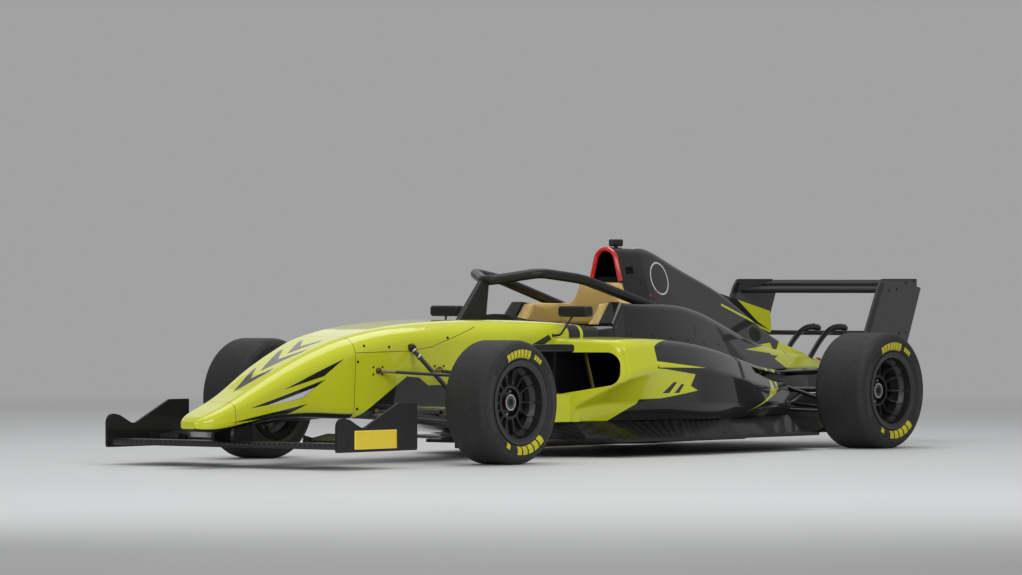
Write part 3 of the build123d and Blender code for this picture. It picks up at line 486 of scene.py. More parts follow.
def tyreFinish(name, x, z, sign):
    f = Finish("rubber_" + name, tyreLook["rubber"], 0.72)
    r = f.radius(f.x, f.z, x, z)
    outer = f.past(f.calc("MULTIPLY", f.y, float(sign)), 0.76)
    turn = f.calc("ARCTAN2", f.calc("MULTIPLY_ADD", f.x, float(sign), -x * sign), f.calc("SUBTRACT", f.z, z))

    def bars(start, end, count, low, high):
        a, pitch = math.radians(start), math.radians(end - start) / count
        share = f.calc("FRACT", f.calc("MULTIPLY_ADD", turn, 1 / pitch, -a / pitch))
        arc = f.both(f.past(turn, a, 0.004), f.below(turn, math.radians(end), 0.004))
        return f.both(arc, f.band(share, 0.11, 0.89, 0.05), f.band(r, low, high, 0.001), outer)
    scuff = f.cloud(60.0, 6.0)
    mark = f.either(*[bars(*each) for each in tyreLook["marks"]])
    moulded = f.either(*[bars(*each) for each in tyreLook["moulded"]])
    tread = f.past(r, 0.258, 0.012)
    f.lay(f.calc("MULTIPLY", tread, f.past(scuff, 0.55, 0.25)), (0.023, 0.023, 0.023))
    f.lay(f.calc("MULTIPLY", mark, f.calc("MULTIPLY_ADD", scuff, 0.4, 0.72)), tyreLook["lemon"])
    rings = f.either(*[f.band(r, edge - 0.0011, edge + 0.0011, 0.0012) for edge in tyreLook["rings"]])
    f.lay(f.calc("MULTIPLY", f.either(rings, moulded), 0.7), tyreLook["raised"])
    f.mottle(18.0, 0.88, 1.12, 5.0)
    f.polish(0.60, 0.85, 24.0, 5.0)
    f.dent(rings, 0.0016)
    ribs = f.calc("MULTIPLY_ADD", f.wave(r, 0.0024), 0.5, 0.5)
    f.dent(f.both(ribs, f.band(r, 0.250, 0.262, 0.003)), 0.0005)
    f.dent(f.either(mark, moulded), 0.0007)
    f.dent(f.cloud(900.0, 2.0), 0.00025)
    dress(f, "tyre_" + name)


# Rims: dark satin alloy, a lighter turned lip, red nut with a grey end
rimArt = {
    # reach from the car's middle
    "nut": {"front": 0.7445, "rear": 0.7365}, "barrel": 0.712, "face": 0.70, "lipFrom": 0.79,
    # radius about the axle
    "lip": (0.1775, 0.184), "recess": (0.045, 0.0625), "nutRadius": 0.0302, "socket": 0.0165,
}


def rimFinish(name, x, z, sign):
    f = Finish("alloy_" + name, (0.048, 0.048, 0.051), 0.38, metal=0.55)
    r = f.radius(f.x, f.z, x, z)
    out = f.calc("MULTIPLY", f.y, float(sign))
    f.lay(f.below(out, rimArt["barrel"], 0.003), (0.010, 0.010, 0.011))
    f.lay(f.both(f.band(r, *rimArt["lip"]), f.past(out, rimArt["lipFrom"])), (0.085, 0.085, 0.09))
    face = f.past(out, rimArt["face"])
    f.lay(f.both(f.band(r, *rimArt["recess"], 0.001), face), (0.012, 0.012, 0.013))
    nut = f.below(r, rimArt["nutRadius"], 0.0008)
    end = f.past(out, rimArt["nut"][name.split("_")[0]])
    f.lay(f.both(nut, face), (0.17, 0.005, 0.007))
    f.lay(f.both(nut, end), (0.10, 0.10, 0.105))
    f.lay(f.both(f.below(r, rimArt["socket"], 0.0008), end), (0.008, 0.008, 0.009))
    f.mottle(22.0, 0.85, 1.15, 4.0)
    f.polish(0.30, 0.48, 60.0)
    f.dent(f.wave(r, 0.0011), 0.00003)  # turning marks
    dress(f, "rim_" + name)


discFace = (0.078, 0.1185)  # inner and outer radius


def hubFinish(name, x, z):
    f = Finish("iron_" + name, (0.16, 0.155, 0.15), 0.42, metal=1.0)
    r = f.radius(f.x, f.z, x, z)
    f.lay(f.band(r, *discFace), (0.30, 0.29, 0.28))
    f.mottle(30.0, 0.8, 1.2, 5.0)
    f.polish(0.28, 0.5, 80.0)
    f.dent(f.wave(r, 0.0016), 0.00008)
    dress(f, "hub_" + name)


for wheelName, (wheelX, wheelZ, wheelSign) in wheels.items():
    tyreFinish(wheelName, wheelX, wheelZ, wheelSign)
    rimFinish(wheelName, wheelX, wheelZ, wheelSign)
    hubFinish(wheelName, wheelX, wheelZ)
print("wheels: rubber, alloy and iron")


# Metals, cloth and wood of the remaining nodes
def metalFinish(name, colour, low, high, metal=1.0, grain=40.0, depth=0.0001, stretch=(1, 1, 1), coat=0.0):
    f = Finish(name, colour, (low + high) / 2, metal=metal, coat=coat)
    f.mottle(grain * 0.5, 0.82, 1.18, 4.0, stretch)
    f.polish(low, high, grain, 4.0, stretch)
    f.dent(f.cloud(grain * 6, 3.0, stretch), depth)
    return f


tubeBlack = metalFinish("tubeBlack", (0.016, 0.016, 0.017), 0.30, 0.46, metal=0.3, depth=0.00004, coat=0.25)
machined = metalFinish("machinedAlloy", (0.30, 0.30, 0.31), 0.26, 0.42, grain=60.0, stretch=(1, 6, 1))
turned = metalFinish("turnedSteel", (0.42, 0.42, 0.43), 0.20, 0.34, grain=70.0, stretch=(6, 1, 6))
castAlloy = metalFinish("castAlloy", (0.16, 0.16, 0.17), 0.44, 0.62, grain=120.0, depth=0.0006)
redGloss = metalFinish("redGloss", paints["red"], 0.28, 0.36, metal=0.0, depth=0.00003, coat=1.0)
dress(tubeBlack, "front_pushrods", "rear_wishbones", "rear_pushrods", "rear_wing_pylons")
legBlack = metalFinish("legBlack", (0.012, 0.012, 0.013), 0.30, 0.46, metal=0.3, depth=0.00004, coat=0.2)
legBlack.lay(legBlack.below(legBlack.reach, 0.272, 0.003), (0.20, 0.155, 0.09))  # bronze rod ends
dress(legBlack, "front_wishbones")
dress(machined, "upright_front_left", "upright_front_right", "rear_uprights")
dress(turned, "steering_rack")
dress(castAlloy, "engine", "gearbox")
dress(redGloss, "intake_trim")


def gridFinish():  # cooler core seen in the inlets
    f = Finish("coolerCore", (0.035, 0.035, 0.038), 0.5, metal=0.7)
    fins = f.wave(f.y, 0.006)
    tubes = f.wave(f.z, 0.016)
    f.lay(f.past(tubes, 0.55, 0.2), (0.075, 0.075, 0.08))
    f.lay(f.past(fins, 0.2, 0.6), (0.008, 0.008, 0.009))
    f.mottle(25.0, 0.75, 1.2)
    f.dent(f.either(fins, tubes), 0.0015)
    dress(f, "radiators")


def plankFinish():
    f = Finish("plankWood", (0.17, 0.12, 0.075), 0.62)
    f.mottle(6.0, 0.6, 1.3, 6.0, (1, 14, 14))
    plies = f.wave(f.z, 0.006)
    f.lay(f.calc("MULTIPLY", f.past(plies, 0.6, 0.3), 0.5), (0.06, 0.045, 0.03))
    f.polish(0.5, 0.75, 40.0, 4.0, (1, 10, 1))
    f.dent(f.cloud(60.0, 5.0, (1, 14, 14)), 0.0005)
    dress(f, "skid_plank")


def clothFinish(name, colour, pitch, sheen):
    f = Finish(name, colour, 0.85, sheen=sheen)
    weave = f.calc("MULTIPLY", f.wave(f.y, pitch), f.wave(f.calc("ADD", f.x, f.z), pitch))
    f.mottle(16.0, 0.8, 1.2, 4.0)
    f.dent(weave, 0.0004)
    f.dent(f.cloud(30.0, 3.0), 0.0012)
    return f


def gripFinish():
    f = Finish("wheelGrip", (0.020, 0.020, 0.021), 0.5)
    hands = f.past(f.reach, 0.068, 0.004)
    f.lay(hands, (0.010, 0.010, 0.010))
    f.rougher(hands, 0.34, 0.85)
    f.dent(f.cloud(700.0, 2.0), 0.0004)
    f.mottle(30.0, 0.8, 1.2)
    dress(f, "steering_wheel")


gridFinish()
plankFinish()
gripFinish()
seatCloth = clothFinish("seatCloth", (0.016, 0.016, 0.017), 0.0032, 0.4)
dress(seatCloth, "seat")


def padFinish():
    f = Finish("tanPad", (0.62, 0.425, 0.125), 0.58, sheen=0.15)
    f.mottle(5.0, 0.88, 1.10, 4.0)
    pores = f.cloud(520.0, 3.0)
    f.polish(0.48, 0.66, 30.0)
    f.dent(pores, 0.00035)
    f.dent(f.cloud(38.0, 4.0), 0.0007)
    return f


tanPad = padFinish()
dress(tanPad, "cockpit_surround")
print("metals, cloth and wood done")


# Modelling by hand: start from a primitive, shape it in edit mode, finish with modifiers
def clearPick():
    if bpy.context.mode != "OBJECT":
        bpy.ops.object.mode_set(mode="OBJECT")
    bpy.ops.object.select_all(action="DESELECT")


def takeUp(piece):
    clearPick()
    piece.select_set(True)
    bpy.context.view_layer.objects.active = piece


def called(name):
    piece = bpy.context.active_object
    piece.name = piece.data.name = name
    return piece


def addBlock(name, size, place=(0, 0, 0), turn=(0, 0, 0)):
    clearPick()
    bpy.ops.mesh.primitive_cube_add(size=1, location=place, rotation=turn, scale=size)
    return called(name)


def addBarrel(name, radius, depth, place=(0, 0, 0), turn=(0, 0, 0), around=32):
    clearPick()
    bpy.ops.mesh.primitive_cylinder_add(vertices=around, radius=radius, depth=depth,
                                        location=place, rotation=turn)
    return called(name)


def settle(piece):  # object back at the origin, its place in its mesh
    takeUp(piece)
    bpy.ops.object.transform_apply(location=True, rotation=True, scale=True)
    return piece


def pickFaces(piece, test):
    takeUp(piece)
    bpy.ops.object.mode_set(mode="EDIT")
    bpy.ops.mesh.select_mode(type="FACE")
    bpy.ops.mesh.select_all(action="DESELECT")
    bpy.ops.object.mode_set(mode="OBJECT")
    for face in piece.data.polygons:
        face.select = test(face)
    bpy.ops.object.mode_set(mode="EDIT")


def pullOut(way):
    bpy.ops.mesh.extrude_region_move(TRANSFORM_OT_translate={"value": way})


def closeEdit():
    bpy.ops.object.mode_set(mode="OBJECT")


def facingUp(face):
    return face.normal.z > 0.9


def press(piece, test, border, way):  # moves what a border leaves of the picked faces
    pickFaces(piece, test)
    bpy.ops.mesh.inset(thickness=border)
    pullOut(way)
    closeEdit()
    return piece


def modify(piece, kind, **settings):
    takeUp(piece)
    step = piece.modifiers.new(kind.lower(), kind)
    for key, value in settings.items():
        setattr(step, key, value)
    bpy.ops.object.modifier_apply(modifier=step.name)


def soften(piece, width, segments=2):
    modify(piece, "BEVEL", width=width, segments=segments, limit_method="ANGLE")
    takeUp(piece)
    bpy.ops.object.shade_smooth_by_angle(angle=math.radians(42))
    return piece


def washer(name, outer, inner, depth, around=48):  # ring about Z
    piece = addBarrel(name, outer, depth, around=around)
    pickFaces(piece, lambda face: abs(face.normal.z) > 0.9)
    bpy.ops.mesh.inset(thickness=outer - inner)
    bpy.ops.mesh.bridge_edge_loops()
    closeEdit()
    return piece


def ribbon(name, rails):  # strip between two rails of points
    clearPick()
    count = len(rails)
    bpy.ops.mesh.primitive_grid_add(x_subdivisions=count - 1, y_subdivisions=1, size=2)
    piece = called(name)
    order = sorted(piece.data.vertices, key=lambda v: (round(v.co.x, 5), round(v.co.y, 5)))
    for index, vertex in enumerate(order):
        vertex.co = Vector(rails[index // 2][index % 2])
    return piece


def spread(model, name, spots):  # copies of one small model, each seated on a skin, as one piece
    copies = []
    for place, out in spots:
        takeUp(model)
        bpy.ops.object.duplicate()
        copy = bpy.context.active_object
        copy.matrix_world = Matrix.Translation(place) @ out.to_track_quat("Z", "Y").to_matrix().to_4x4()
        copies.append(copy)
    clearPick()
    for copy in copies:
        copy.select_set(True)
    bpy.context.view_layer.objects.active = copies[0]
    if len(copies) > 1:
        bpy.ops.object.join()
    piece = settle(called(name))
    bpy.data.objects.remove(model)
    return piece


def merged(name, pieces):
    clearPick()
    for piece in pieces:
        piece.select_set(True)
    bpy.context.view_layer.objects.active = pieces[0]
    bpy.ops.object.join()
    return settle(called(name))


def onSkin(node, start, way):
    hit, place, normal, face = nodes[node].ray_cast(Vector(start), Vector(way))
    if not hit:
        raise ValueError(f"nothing of {node} at {start}")
    return place, normal


def fromSide(node, x, z, sign):  # x from the front axle
    return onSkin(node, (x + frontAxle, sign * 1.5, z), (0, -sign, 0))


def fromTop(node, x, y):
    return onSkin(node, (x + frontAxle, y, 3.0), (0, 0, -1))


def keep(piece, body, finish):
    piece.data.materials.clear()
    piece.data.materials.append(finish.material)
    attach(piece, body)
    return piece


# Small fasteners
screwSize = {"radius": 0.0062, "depth": 0.005, "socket": 0.0030, "sink": 0.0022}


def makeScrew(scale=1.0):
    s = {key: value * scale for key, value in screwSize.items()}
    piece = addBarrel("screw", s["radius"], s["depth"], around=14)
    press(piece, facingUp, s["radius"] - s["socket"], (0, 0, -s["sink"]))
    return soften(piece, s["radius"] * 0.12, 1)


def bothFlanks(node, points):
    return [fromSide(node, x, z, sign) for x, z in points for sign in sides.values()]


darkScrew = metalFinish("darkScrew", (0.05, 0.05, 0.052), 0.3, 0.45, grain=90.0)


def setScrews(name, scale, spots):
    keep(spread(makeScrew(scale), name, spots), "chassis", darkScrew)


tubScrews = [(0.376, 0.445), (0.372, 0.240), (0.330, 0.514), (0.177, 0.508), (0.05, 0.512), (-0.20, 0.545)]
setScrews("tub_fasteners", 1.0, bothFlanks("monocoque", tubScrews))
coverRow = [(-1.42 - 0.155 * k, 0.556 - 0.012 * k) for k in range(6)]
setScrews("cover_fasteners", 0.8, bothFlanks("engine_cover", coverRow))
rivets = [(-1.713 - 0.013 * k, 0.905) for k in range(7)] + [(-1.710 - 0.022 * k, 0.8165) for k in range(6)]
setScrews("airbox_rivets", 0.42, bothFlanks("airbox", rivets))
boxScrews = [(-1.728, 0.790), (-1.816, 0.790)]
setScrews("airbox_fasteners", 0.9, bothFlanks("airbox", boxScrews))
plateBolts = [(0.99, 0.101), (0.600, 0.125)]
setScrews("front_plate_bolts", 0.9, bothFlanks("front_wing_endplates", plateBolts))
rearBolts = [(-3.40, 0.750), (-3.47, 0.758), (-3.55, 0.790), (-3.62, 0.797), (-3.49, 0.542), (-3.55, 0.546)]
setScrews("rear_plate_bolts", 1.0, bothFlanks("rear_wing_endplates", rearBolts))
floorEdge = [(-1.34 - 0.21 * k, y) for k in range(6) for y in (0.628, -0.628)]
setScrews("floor_fasteners", 1.1, [fromTop("floor", x, y) for x, y in floorEdge])
print("fasteners placed")


# Swan necks under the rear wing: slim bent arms from the gearbox to the beam wing, with two bolts each
neckShape = {
    "path": [(-3.205, 0.060, 0.328), (-3.222, 0.068, 0.385), (-3.258, 0.080, 0.440), (-3.322, 0.080, 0.502),
             (-3.388, 0.080, 0.549), (-3.452, 0.080, 0.571), (-3.515, 0.080, 0.571), (-3.572, 0.080, 0.561)],
    "width": 0.034, "thick": 0.021, "bolts": (-3.505, -3.543), "boltY": 0.080,
}


def swanNeck(sign):
    path = [Vector((x + frontAxle, sign * y, z)) for x, y, z in neckShape["path"]]
    rails = []
    for before, here, after in zip(path[:1] + path, path, path[1:] + path[-1:]):
        across = (after - before).cross(Vector((0, 1, 0))).normalized() * neckShape["width"] / 2
        rails.append((here + across, here - across))
    arm = ribbon("neck", rails)
    modify(arm, "SOLIDIFY", thickness=neckShape["thick"], offset=0.0)
    modify(arm, "SUBSURF", levels=3)
    return arm


def swanNecks():
    arms = merged("swan_necks", [swanNeck(sign) for sign in sides.values()])
    takeUp(arms)
    bpy.ops.object.shade_smooth()
    keep(arms, "chassis", tubeBlack)
    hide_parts("rear_wing_pylons")
    spots = []
    for x in neckShape["bolts"]:
        for sign in sides.values():
            above = Vector((x + frontAxle, sign * neckShape["boltY"], 1.0))
            hit, place, normal, face = arms.ray_cast(above, Vector((0, 0, -1)))
            spots.append((place, normal))
    keep(spread(makeScrew(1.1), "neck_bolts", spots), "chassis", turned)


swanNecks()
print("swan necks bent")


# Strip that closes the slot between the rear wing's two planes
slotStrip = {
    "x": -3.5545, "z": 0.7745, "depth": 0.008, "height": 0.014, "border": 0.0015,
    "lean": (-0.004, 0.0, 0.002),  # the top leans back under the flap
}


def flapStrip():
    half = max(corner[1] for corner in nodes["rear_wing_planes"].bound_box)
    size = (slotStrip["depth"], 2 * half, slotStrip["height"])
    piece = settle(addBlock("flap_strip", size, (slotStrip["x"] + frontAxle, 0.0, slotStrip["z"])))
    press(piece, facingUp, slotStrip["border"], slotStrip["lean"])
    keep(soften(piece, 0.0012), "chassis", rearCarbon)


flapStrip()


# Suspension brackets on the tub, each a bronze boss between four bolts
bracketSize = {
    "boss": 0.0135, "rise": 0.012, "sunk": 0.002, "eye": 0.0085, "neck": 0.006, "bolts": (0.029, 0.0157),
}
brackets = [(0.246, 0.405), (-0.150, 0.405), (0.250, 0.228), (-0.190, 0.215)]
bronze = metalFinish("bronze", (0.20, 0.155, 0.09), 0.28, 0.42, grain=80.0)


def makeBoss():
    b = bracketSize
    boss = settle(addBarrel("boss", b["boss"], b["rise"], (0, 0, b["rise"] / 2 - b["sunk"]), around=28))
    return soften(press(boss, facingUp, b["boss"] - b["eye"], (0, 0, b["neck"])), 0.0012)


def bracketSpots():
    dx, dz = bracketSize["bolts"]
    return [(x + i * dx, z + k * dz) for x, z in brackets for i in (-1, 1) for k in (-1, 1)]


keep(spread(makeBoss(), "wishbone_brackets", bothFlanks("monocoque", brackets)), "chassis", bronze)
setScrews("bracket_bolts", 0.85, bothFlanks("monocoque", bracketSpots()))

# Pushrods: a rubber boot at the tub and two bright collars
rodLine = {
    "low": (0.004, 0.560, 0.186), "high": (0.037, 0.190, 0.530), "radius": 0.010,
    "collars": (0.50, 0.474), "collarDrop": 0.012, "collar": (0.0030, 0.0006, 0.010),  # over, under, length
    "boot": 0.019, "folds": ((0.005, 0.003), (0.004, 0.0008), (0.005, 0.003)),  # rise and draw of each
}


def pushrodTrim():
    low, high = Vector(rodLine["low"]), Vector(rodLine["high"])
    collars, boots = [], []
    for sign in sides.values():
        a, b = [Vector((p.x + frontAxle, p.y * sign, p.z)) for p in (low, high)]
        way = (b - a).normalized()
        for level in rodLine["collars"]:
            collars.append((a + (b - a) * ((level - rodLine["collarDrop"] - a.z) / (b.z - a.z)), way))
        place, normal = onSkin("monocoque", a, way)
        boots.append((place, normal))
    over, under, length = rodLine["collar"]
    band = washer("band", rodLine["radius"] + over, rodLine["radius"] - under, length, 28)
    keep(spread(soften(band, 0.0012), "pushrod_collars", collars), "chassis", turned)
    boot = addBarrel("boot", rodLine["boot"], 0.008, (0, 0, 0.002), around=28)
    pickFaces(settle(boot), facingUp)
    for rise, draw in rodLine["folds"]:
        bpy.ops.mesh.inset(thickness=draw)
        pullOut((0, 0, rise))
    closeEdit()
    keep(spread(soften(boot, 0.001), "pushrod_boots", boots), "chassis", tubeBlack)


pushrodTrim()
print("suspension trim placed")


# Front wing: blank yellow plates, flap brackets
plate = {
    "x": (0.672, 0.953), "y": 0.655, "z": (0.0865, 0.166), "thick": 0.0022,
    "border": 0.0055, "sink": 0.0006, "corner": 0.004,
}


def plateFinish():
    f = Finish("plateYellow", (0.80, 0.60, 0.020), 0.36, coat=0.4)
    x0, x1 = [x + frontAxle for x in plate["x"]]
    edge = plate["border"]
    inner = f.both(f.band(f.x, x0 + edge, x1 - edge), f.band(f.z, plate["z"][0] + edge, plate["z"][1] - edge))
    f.lay(f.calc("SUBTRACT", 1.0, inner), (0.88, 0.70, 0.05))
    f.mottle(20.0, 0.95, 1.05)
    f.polish(0.3, 0.44, 50.0)
    return f


def blankPlates():
    made = []
    for sign in sides.values():
        size = [plate["x"][1] - plate["x"][0], plate["thick"], plate["z"][1] - plate["z"][0]]
        mid = [sum(plate["x"]) / 2 + frontAxle, sign * (plate["y"] + plate["thick"] / 2), sum(plate["z"]) / 2]
        card = settle(addBlock("card", size, mid))
        modify(card, "BEVEL", width=plate["corner"], segments=3, limit_method="ANGLE")
        way = (0, -sign * plate["sink"], 0)
        made.append(press(card, lambda face: face.normal.y * sign > 0.9, plate["border"], way))
    keep(merged("blank_plates", made), "chassis", plateFinish())


blankPlates()
flapBracket = {
    "x": 0.775, "y": (0.26, 0.45, 0.61), "z": 0.116, "size": (0.090, 0.004, 0.034),
    "tilt": -8, "taper": 0.55,
}


def flapBrackets():
    made = []
    for y in flapBracket["y"]:
        for sign in sides.values():
            place = (flapBracket["x"] + frontAxle, sign * y, flapBracket["z"])
            arm = addBlock("arm", flapBracket["size"], place, (0, math.radians(flapBracket["tilt"]), 0))
            settle(arm)
            pickFaces(arm, lambda face: face.normal.x < -0.8)
            bpy.ops.transform.resize(value=(1, 1, flapBracket["taper"]))
            closeEdit()
            made.append(soften(arm, 0.0016))
    keep(merged("flap_brackets", made), "chassis", strutCarbon)


flapBrackets()
print("front wing trim placed")


# Wheels: bright ring round the nut, drive pins
hubTrim = {
    "ring": (0.0360, 0.0285, 0.007), "sunk": 0.3,  # outer and inner radius, depth, share below the nut's end
    "probe": (0.010, 0.3), "pins": 7, "pinRadius": 0.0525,
}
brightRing = metalFinish("brightRing", (0.62, 0.62, 0.63), 0.22, 0.40, grain=70.0, stretch=(6, 1, 6))


def wheelTrim(name, x, z, sign):
    rim = "rim_" + name
    out = Vector((0, sign, 0))

    def seat(radius, angle):
        start = (x + radius * math.sin(angle), sign * 1.2, z + radius * math.cos(angle))
        return onSkin(rim, start, (0, -sign, 0))[0]
    outer, inner, depth = hubTrim["ring"]
    spot = seat(*hubTrim["probe"]) - out * depth * hubTrim["sunk"]
    ring = soften(washer("ring", outer, inner, depth), 0.0012)
    body = "wheel_" + name
    keep(spread(ring, "nut_ring_" + name, [(Vector((x, spot.y, z)), out)]), body, brightRing)
    turns = [2 * math.pi * (k + 0.5) / hubTrim["pins"] for k in range(hubTrim["pins"])]
    pins = [(seat(hubTrim["pinRadius"], turn), out) for turn in turns]
    keep(spread(makeScrew(1.15), "drive_pins_" + name, pins), body, machined)


for wheelName, (wheelX, wheelZ, wheelSign) in wheels.items():
    wheelTrim(wheelName, wheelX, wheelZ, wheelSign)
print("wheel trim placed")


# Cockpit: padded surround blown up by cloth, harness, wheel controls, screen lip
pad = {"voxel": 0.0055, "drawIn": 0.0045, "pressure": 4.0, "frames": 20, "cap": 0.0065, "seat": 0.5985}


def makePad():
    piece = bpy.data.objects.new("padded_surround", nodes["cockpit_surround"].data.copy())
    bpy.context.scene.collection.objects.link(piece)
    takeUp(piece)
    bpy.ops.object.mode_set(mode="EDIT")
    bpy.ops.mesh.select_all(action="SELECT")
    bpy.ops.mesh.remove_doubles(threshold=0.0001)
    closeEdit()
    piece.data.remesh_voxel_size = pad["voxel"]
    bpy.ops.object.voxel_remesh()
    bpy.ops.object.mode_set(mode="EDIT")
    bpy.ops.mesh.select_all(action="SELECT")
    bpy.ops.transform.shrink_fatten(value=-pad["drawIn"])
    closeEdit()
    blowUp(piece)
    modify(piece, "SMOOTH", factor=0.5, iterations=4)
    modify(piece, "SUBSURF", levels=1)
    takeUp(piece)
    bpy.ops.object.shade_smooth()
    keep(piece, "chassis", tanPad)
    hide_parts("cockpit_surround")


def blowUp(piece):
    start = [v.co.copy() for v in piece.data.vertices]
    held = piece.vertex_groups.new(name="held")
    held.add([v.index for v in piece.data.vertices if v.co.z < pad["seat"]], 1.0, "REPLACE")
    cloth = piece.modifiers.new("cloth", "CLOTH")
    cloth.settings.use_pressure = True
    cloth.settings.uniform_pressure_force = pad["pressure"]
    cloth.settings.vertex_group_mass = "held"
    cloth.settings.effector_weights.gravity = 0.0
    cloth.point_cache.frame_start, cloth.point_cache.frame_end = 1, pad["frames"]
    for step in range(1, pad["frames"] + 1):
        bpy.context.scene.frame_set(step)
    takeUp(piece)
    bpy.ops.object.modifier_apply(modifier="cloth")
    for vertex, before in zip(piece.data.vertices, start):
        move = vertex.co - before
        if move.length > pad["cap"]:
            vertex.co = before + move.normalized() * pad["cap"]
    bpy.context.scene.frame_set(1)


makePad()
print("padded surround done")

webbing = clothFinish("webbing", (0.020, 0.020, 0.022), 0.0018, 0.3)
strap = {
    "width": 0.046, "thick": 0.0026, "shoulder": 0.085, "heights": (0.545, 0.48, 0.41, 0.345), "proud": 0.004,
    "lap": (0.145, 0.10, 0.055, 0.02), "lapX": -1.36, "lapLift": 0.006,
}
buckleSize = {"radius": 0.030, "depth": 0.016, "lift": 0.014, "border": 0.009, "rise": 0.006}


def strapAlong(name, centres, across):
    half = Vector(across) * strap["width"] / 2
    piece = ribbon(name, [(Vector(p) - half, Vector(p) + half) for p in centres])
    modify(piece, "SUBSURF", levels=2)
    modify(piece, "SOLIDIFY", thickness=strap["thick"], offset=0.0)
    return soften(piece, 0.0008, 1)


def harness():
    made = []
    for sign in sides.values():
        y = sign * strap["shoulder"]
        path = []
        for z in strap["heights"]:
            lean = 0.55 + 0.75 * (z - 0.3)  # the belts draw together towards the buckle
            place, normal = onSkin("seat", (-1.0 + frontAxle, y * lean, z), (-1, 0, 0))
            path.append(place + normal * strap["proud"])
        made.append(strapAlong("shoulder", path, (0, 1, 0)))
        lap = []
        for reach in strap["lap"]:
            place = fromTop("seat", strap["lapX"], sign * reach)[0]
            lap.append(place + Vector((0, 0, strap["lapLift"])))
        made.append(strapAlong("lap", lap, (1, 0, 0)))
    b = buckleSize
    place = fromTop("seat", strap["lapX"], 0.0)[0] + Vector((0, 0, b["lift"]))
    buckle = settle(addBarrel("buckle", b["radius"], b["depth"], place, around=28))
    press(buckle, facingUp, b["border"], (0, 0, b["rise"]))
    keep(soften(buckle, 0.0022), "chassis", redGloss)
    buckle.name = "harness_buckle"
    keep(merged("harness", made), "chassis", webbing)


harness()

wheelFace = {"middle": (-0.985, 0.0, 0.545), "tilt": 12.0, "thick": 0.030}
display = {"size": (0.072, 0.040, 0.006), "up": 0.022, "lift": 0.001, "border": 0.005, "sink": 0.0015}
buttonRows = ((0.048, 0.040), (0.052, 0.012), (0.046, -0.018))  # across and up from the wheel's middle
buttonSize = {
    "radius": 0.0065, "depth": 0.007, "around": 18, "border": 0.0018, "rise": 0.0016, "edge": 0.0007,
    "lift": 0.002, "spots": [(side * y, up) for y, up in buttonRows for side in (-1, 1)],
}
dialSize = {
    "radius": 0.0095, "depth": 0.010, "around": 12, "border": 0.002, "rise": 0.003, "edge": 0.0008,
    "lift": 0.003, "spots": [(-0.030, -0.040), (0.0, -0.044), (0.030, -0.040)],
}


def facePlace(y, up, lift):
    tilt = math.radians(wheelFace["tilt"])
    out, rise = Vector((-math.cos(tilt), 0, math.sin(tilt))), Vector((math.sin(tilt), 0, math.cos(tilt)))
    middle = Vector(wheelFace["middle"]) + Vector((frontAxle, 0, 0))
    return middle + out * (wheelFace["thick"] / 2 + lift) + rise * up + Vector((0, y, 0)), out


def wheelKnobs(name, size, finish):
    knob = addBarrel("knob", size["radius"], size["depth"], around=size["around"])
    soften(press(knob, facingUp, size["border"], (0, 0, size["rise"])), size["edge"])
    spots = [facePlace(y, up, size["lift"]) for y, up in size["spots"]]
    keep(spread(knob, name, spots), "steering_wheel", finish)


def wheelDisplay():
    place = facePlace(0.0, display["up"], display["lift"])[0]
    screen = addBlock("display", display["size"])
    press(screen, facingUp, display["border"], (0, 0, -display["sink"]))
    soften(settle(screen), 0.0012)
    tilt = math.radians(wheelFace["tilt"])
    sine, cosine = math.sin(tilt), math.cos(tilt)
    facing = Matrix(((0, sine, -cosine), (-1, 0, 0), (0, cosine, sine)))
    screen.matrix_world = Matrix.Translation(place) @ facing.to_4x4()
    settle(screen)
    glass = Finish("displayGlass", (0.006, 0.010, 0.012), 0.12, coat=0.6)
    glass.mottle(120.0, 0.7, 1.3)
    keep(screen, "steering_wheel", glass)


wheelDisplay()
wheelKnobs("wheel_buttons", buttonSize, redGloss)
wheelKnobs("wheel_dials", dialSize, machined)

screenLip = {
    "path": [(-0.950, 0.216), (-0.915, 0.186), (-0.872, 0.140),
             (-0.850, 0.100), (-0.842, 0.060), (-0.838, 0.0)],
    "height": 0.030, "lean": 0.012, "thick": 0.003, "ends": 0.004, "sunk": 0.006, "swell": 2.5,
}


def windLip():
    half = screenLip["path"]
    path = half + [(x, -y) for x, y in reversed(half[:-1])]
    rails = []
    for index, (x, y) in enumerate(path):
        foot = fromTop("monocoque", x + 0.008, y * 1.03)[0]
        foot.x, foot.y = x + frontAxle, y
        share = math.sin(math.pi * index / (len(path) - 1)) ** screenLip["swell"]
        brim = Vector((-screenLip["lean"] * share, 0, screenLip["ends"] + screenLip["height"] * share))
        rails.append((foot - Vector((0, 0, screenLip["sunk"])), foot + brim))
    piece = ribbon("wind_lip", rails)
    modify(piece, "SUBSURF", levels=2)
    modify(piece, "SOLIDIFY", thickness=screenLip["thick"], offset=0.0)
    keep(soften(piece, 0.001), "chassis", haloCarbon)


windLip()
print("cockpit trim done")


# Mirrors, camera, lamp, inlet struts and the airbox window
mirrorPane = {
    "size": (0.004, 0.142, 0.032), "mid": (-0.9865, 0.372, 0.659),
    "corner": 0.006, "border": 0.003, "sink": 0.0008,
}


def mirrorGlass():
    made = []
    for sign in sides.values():
        x, y, z = mirrorPane["mid"]
        glass = settle(addBlock("glass", mirrorPane["size"], (x + frontAxle, sign * y, z)))
        modify(glass, "BEVEL", width=mirrorPane["corner"], segments=4, limit_method="ANGLE")
        way = (mirrorPane["sink"], 0, 0)
        made.append(press(glass, lambda face: face.normal.x < -0.95, mirrorPane["border"], way))
    finish = metalFinish("mirrorGlass", (0.75, 0.77, 0.78), 0.02, 0.06, grain=20.0, depth=0.00001)
    keep(merged("mirror_glass", made), "chassis", finish)


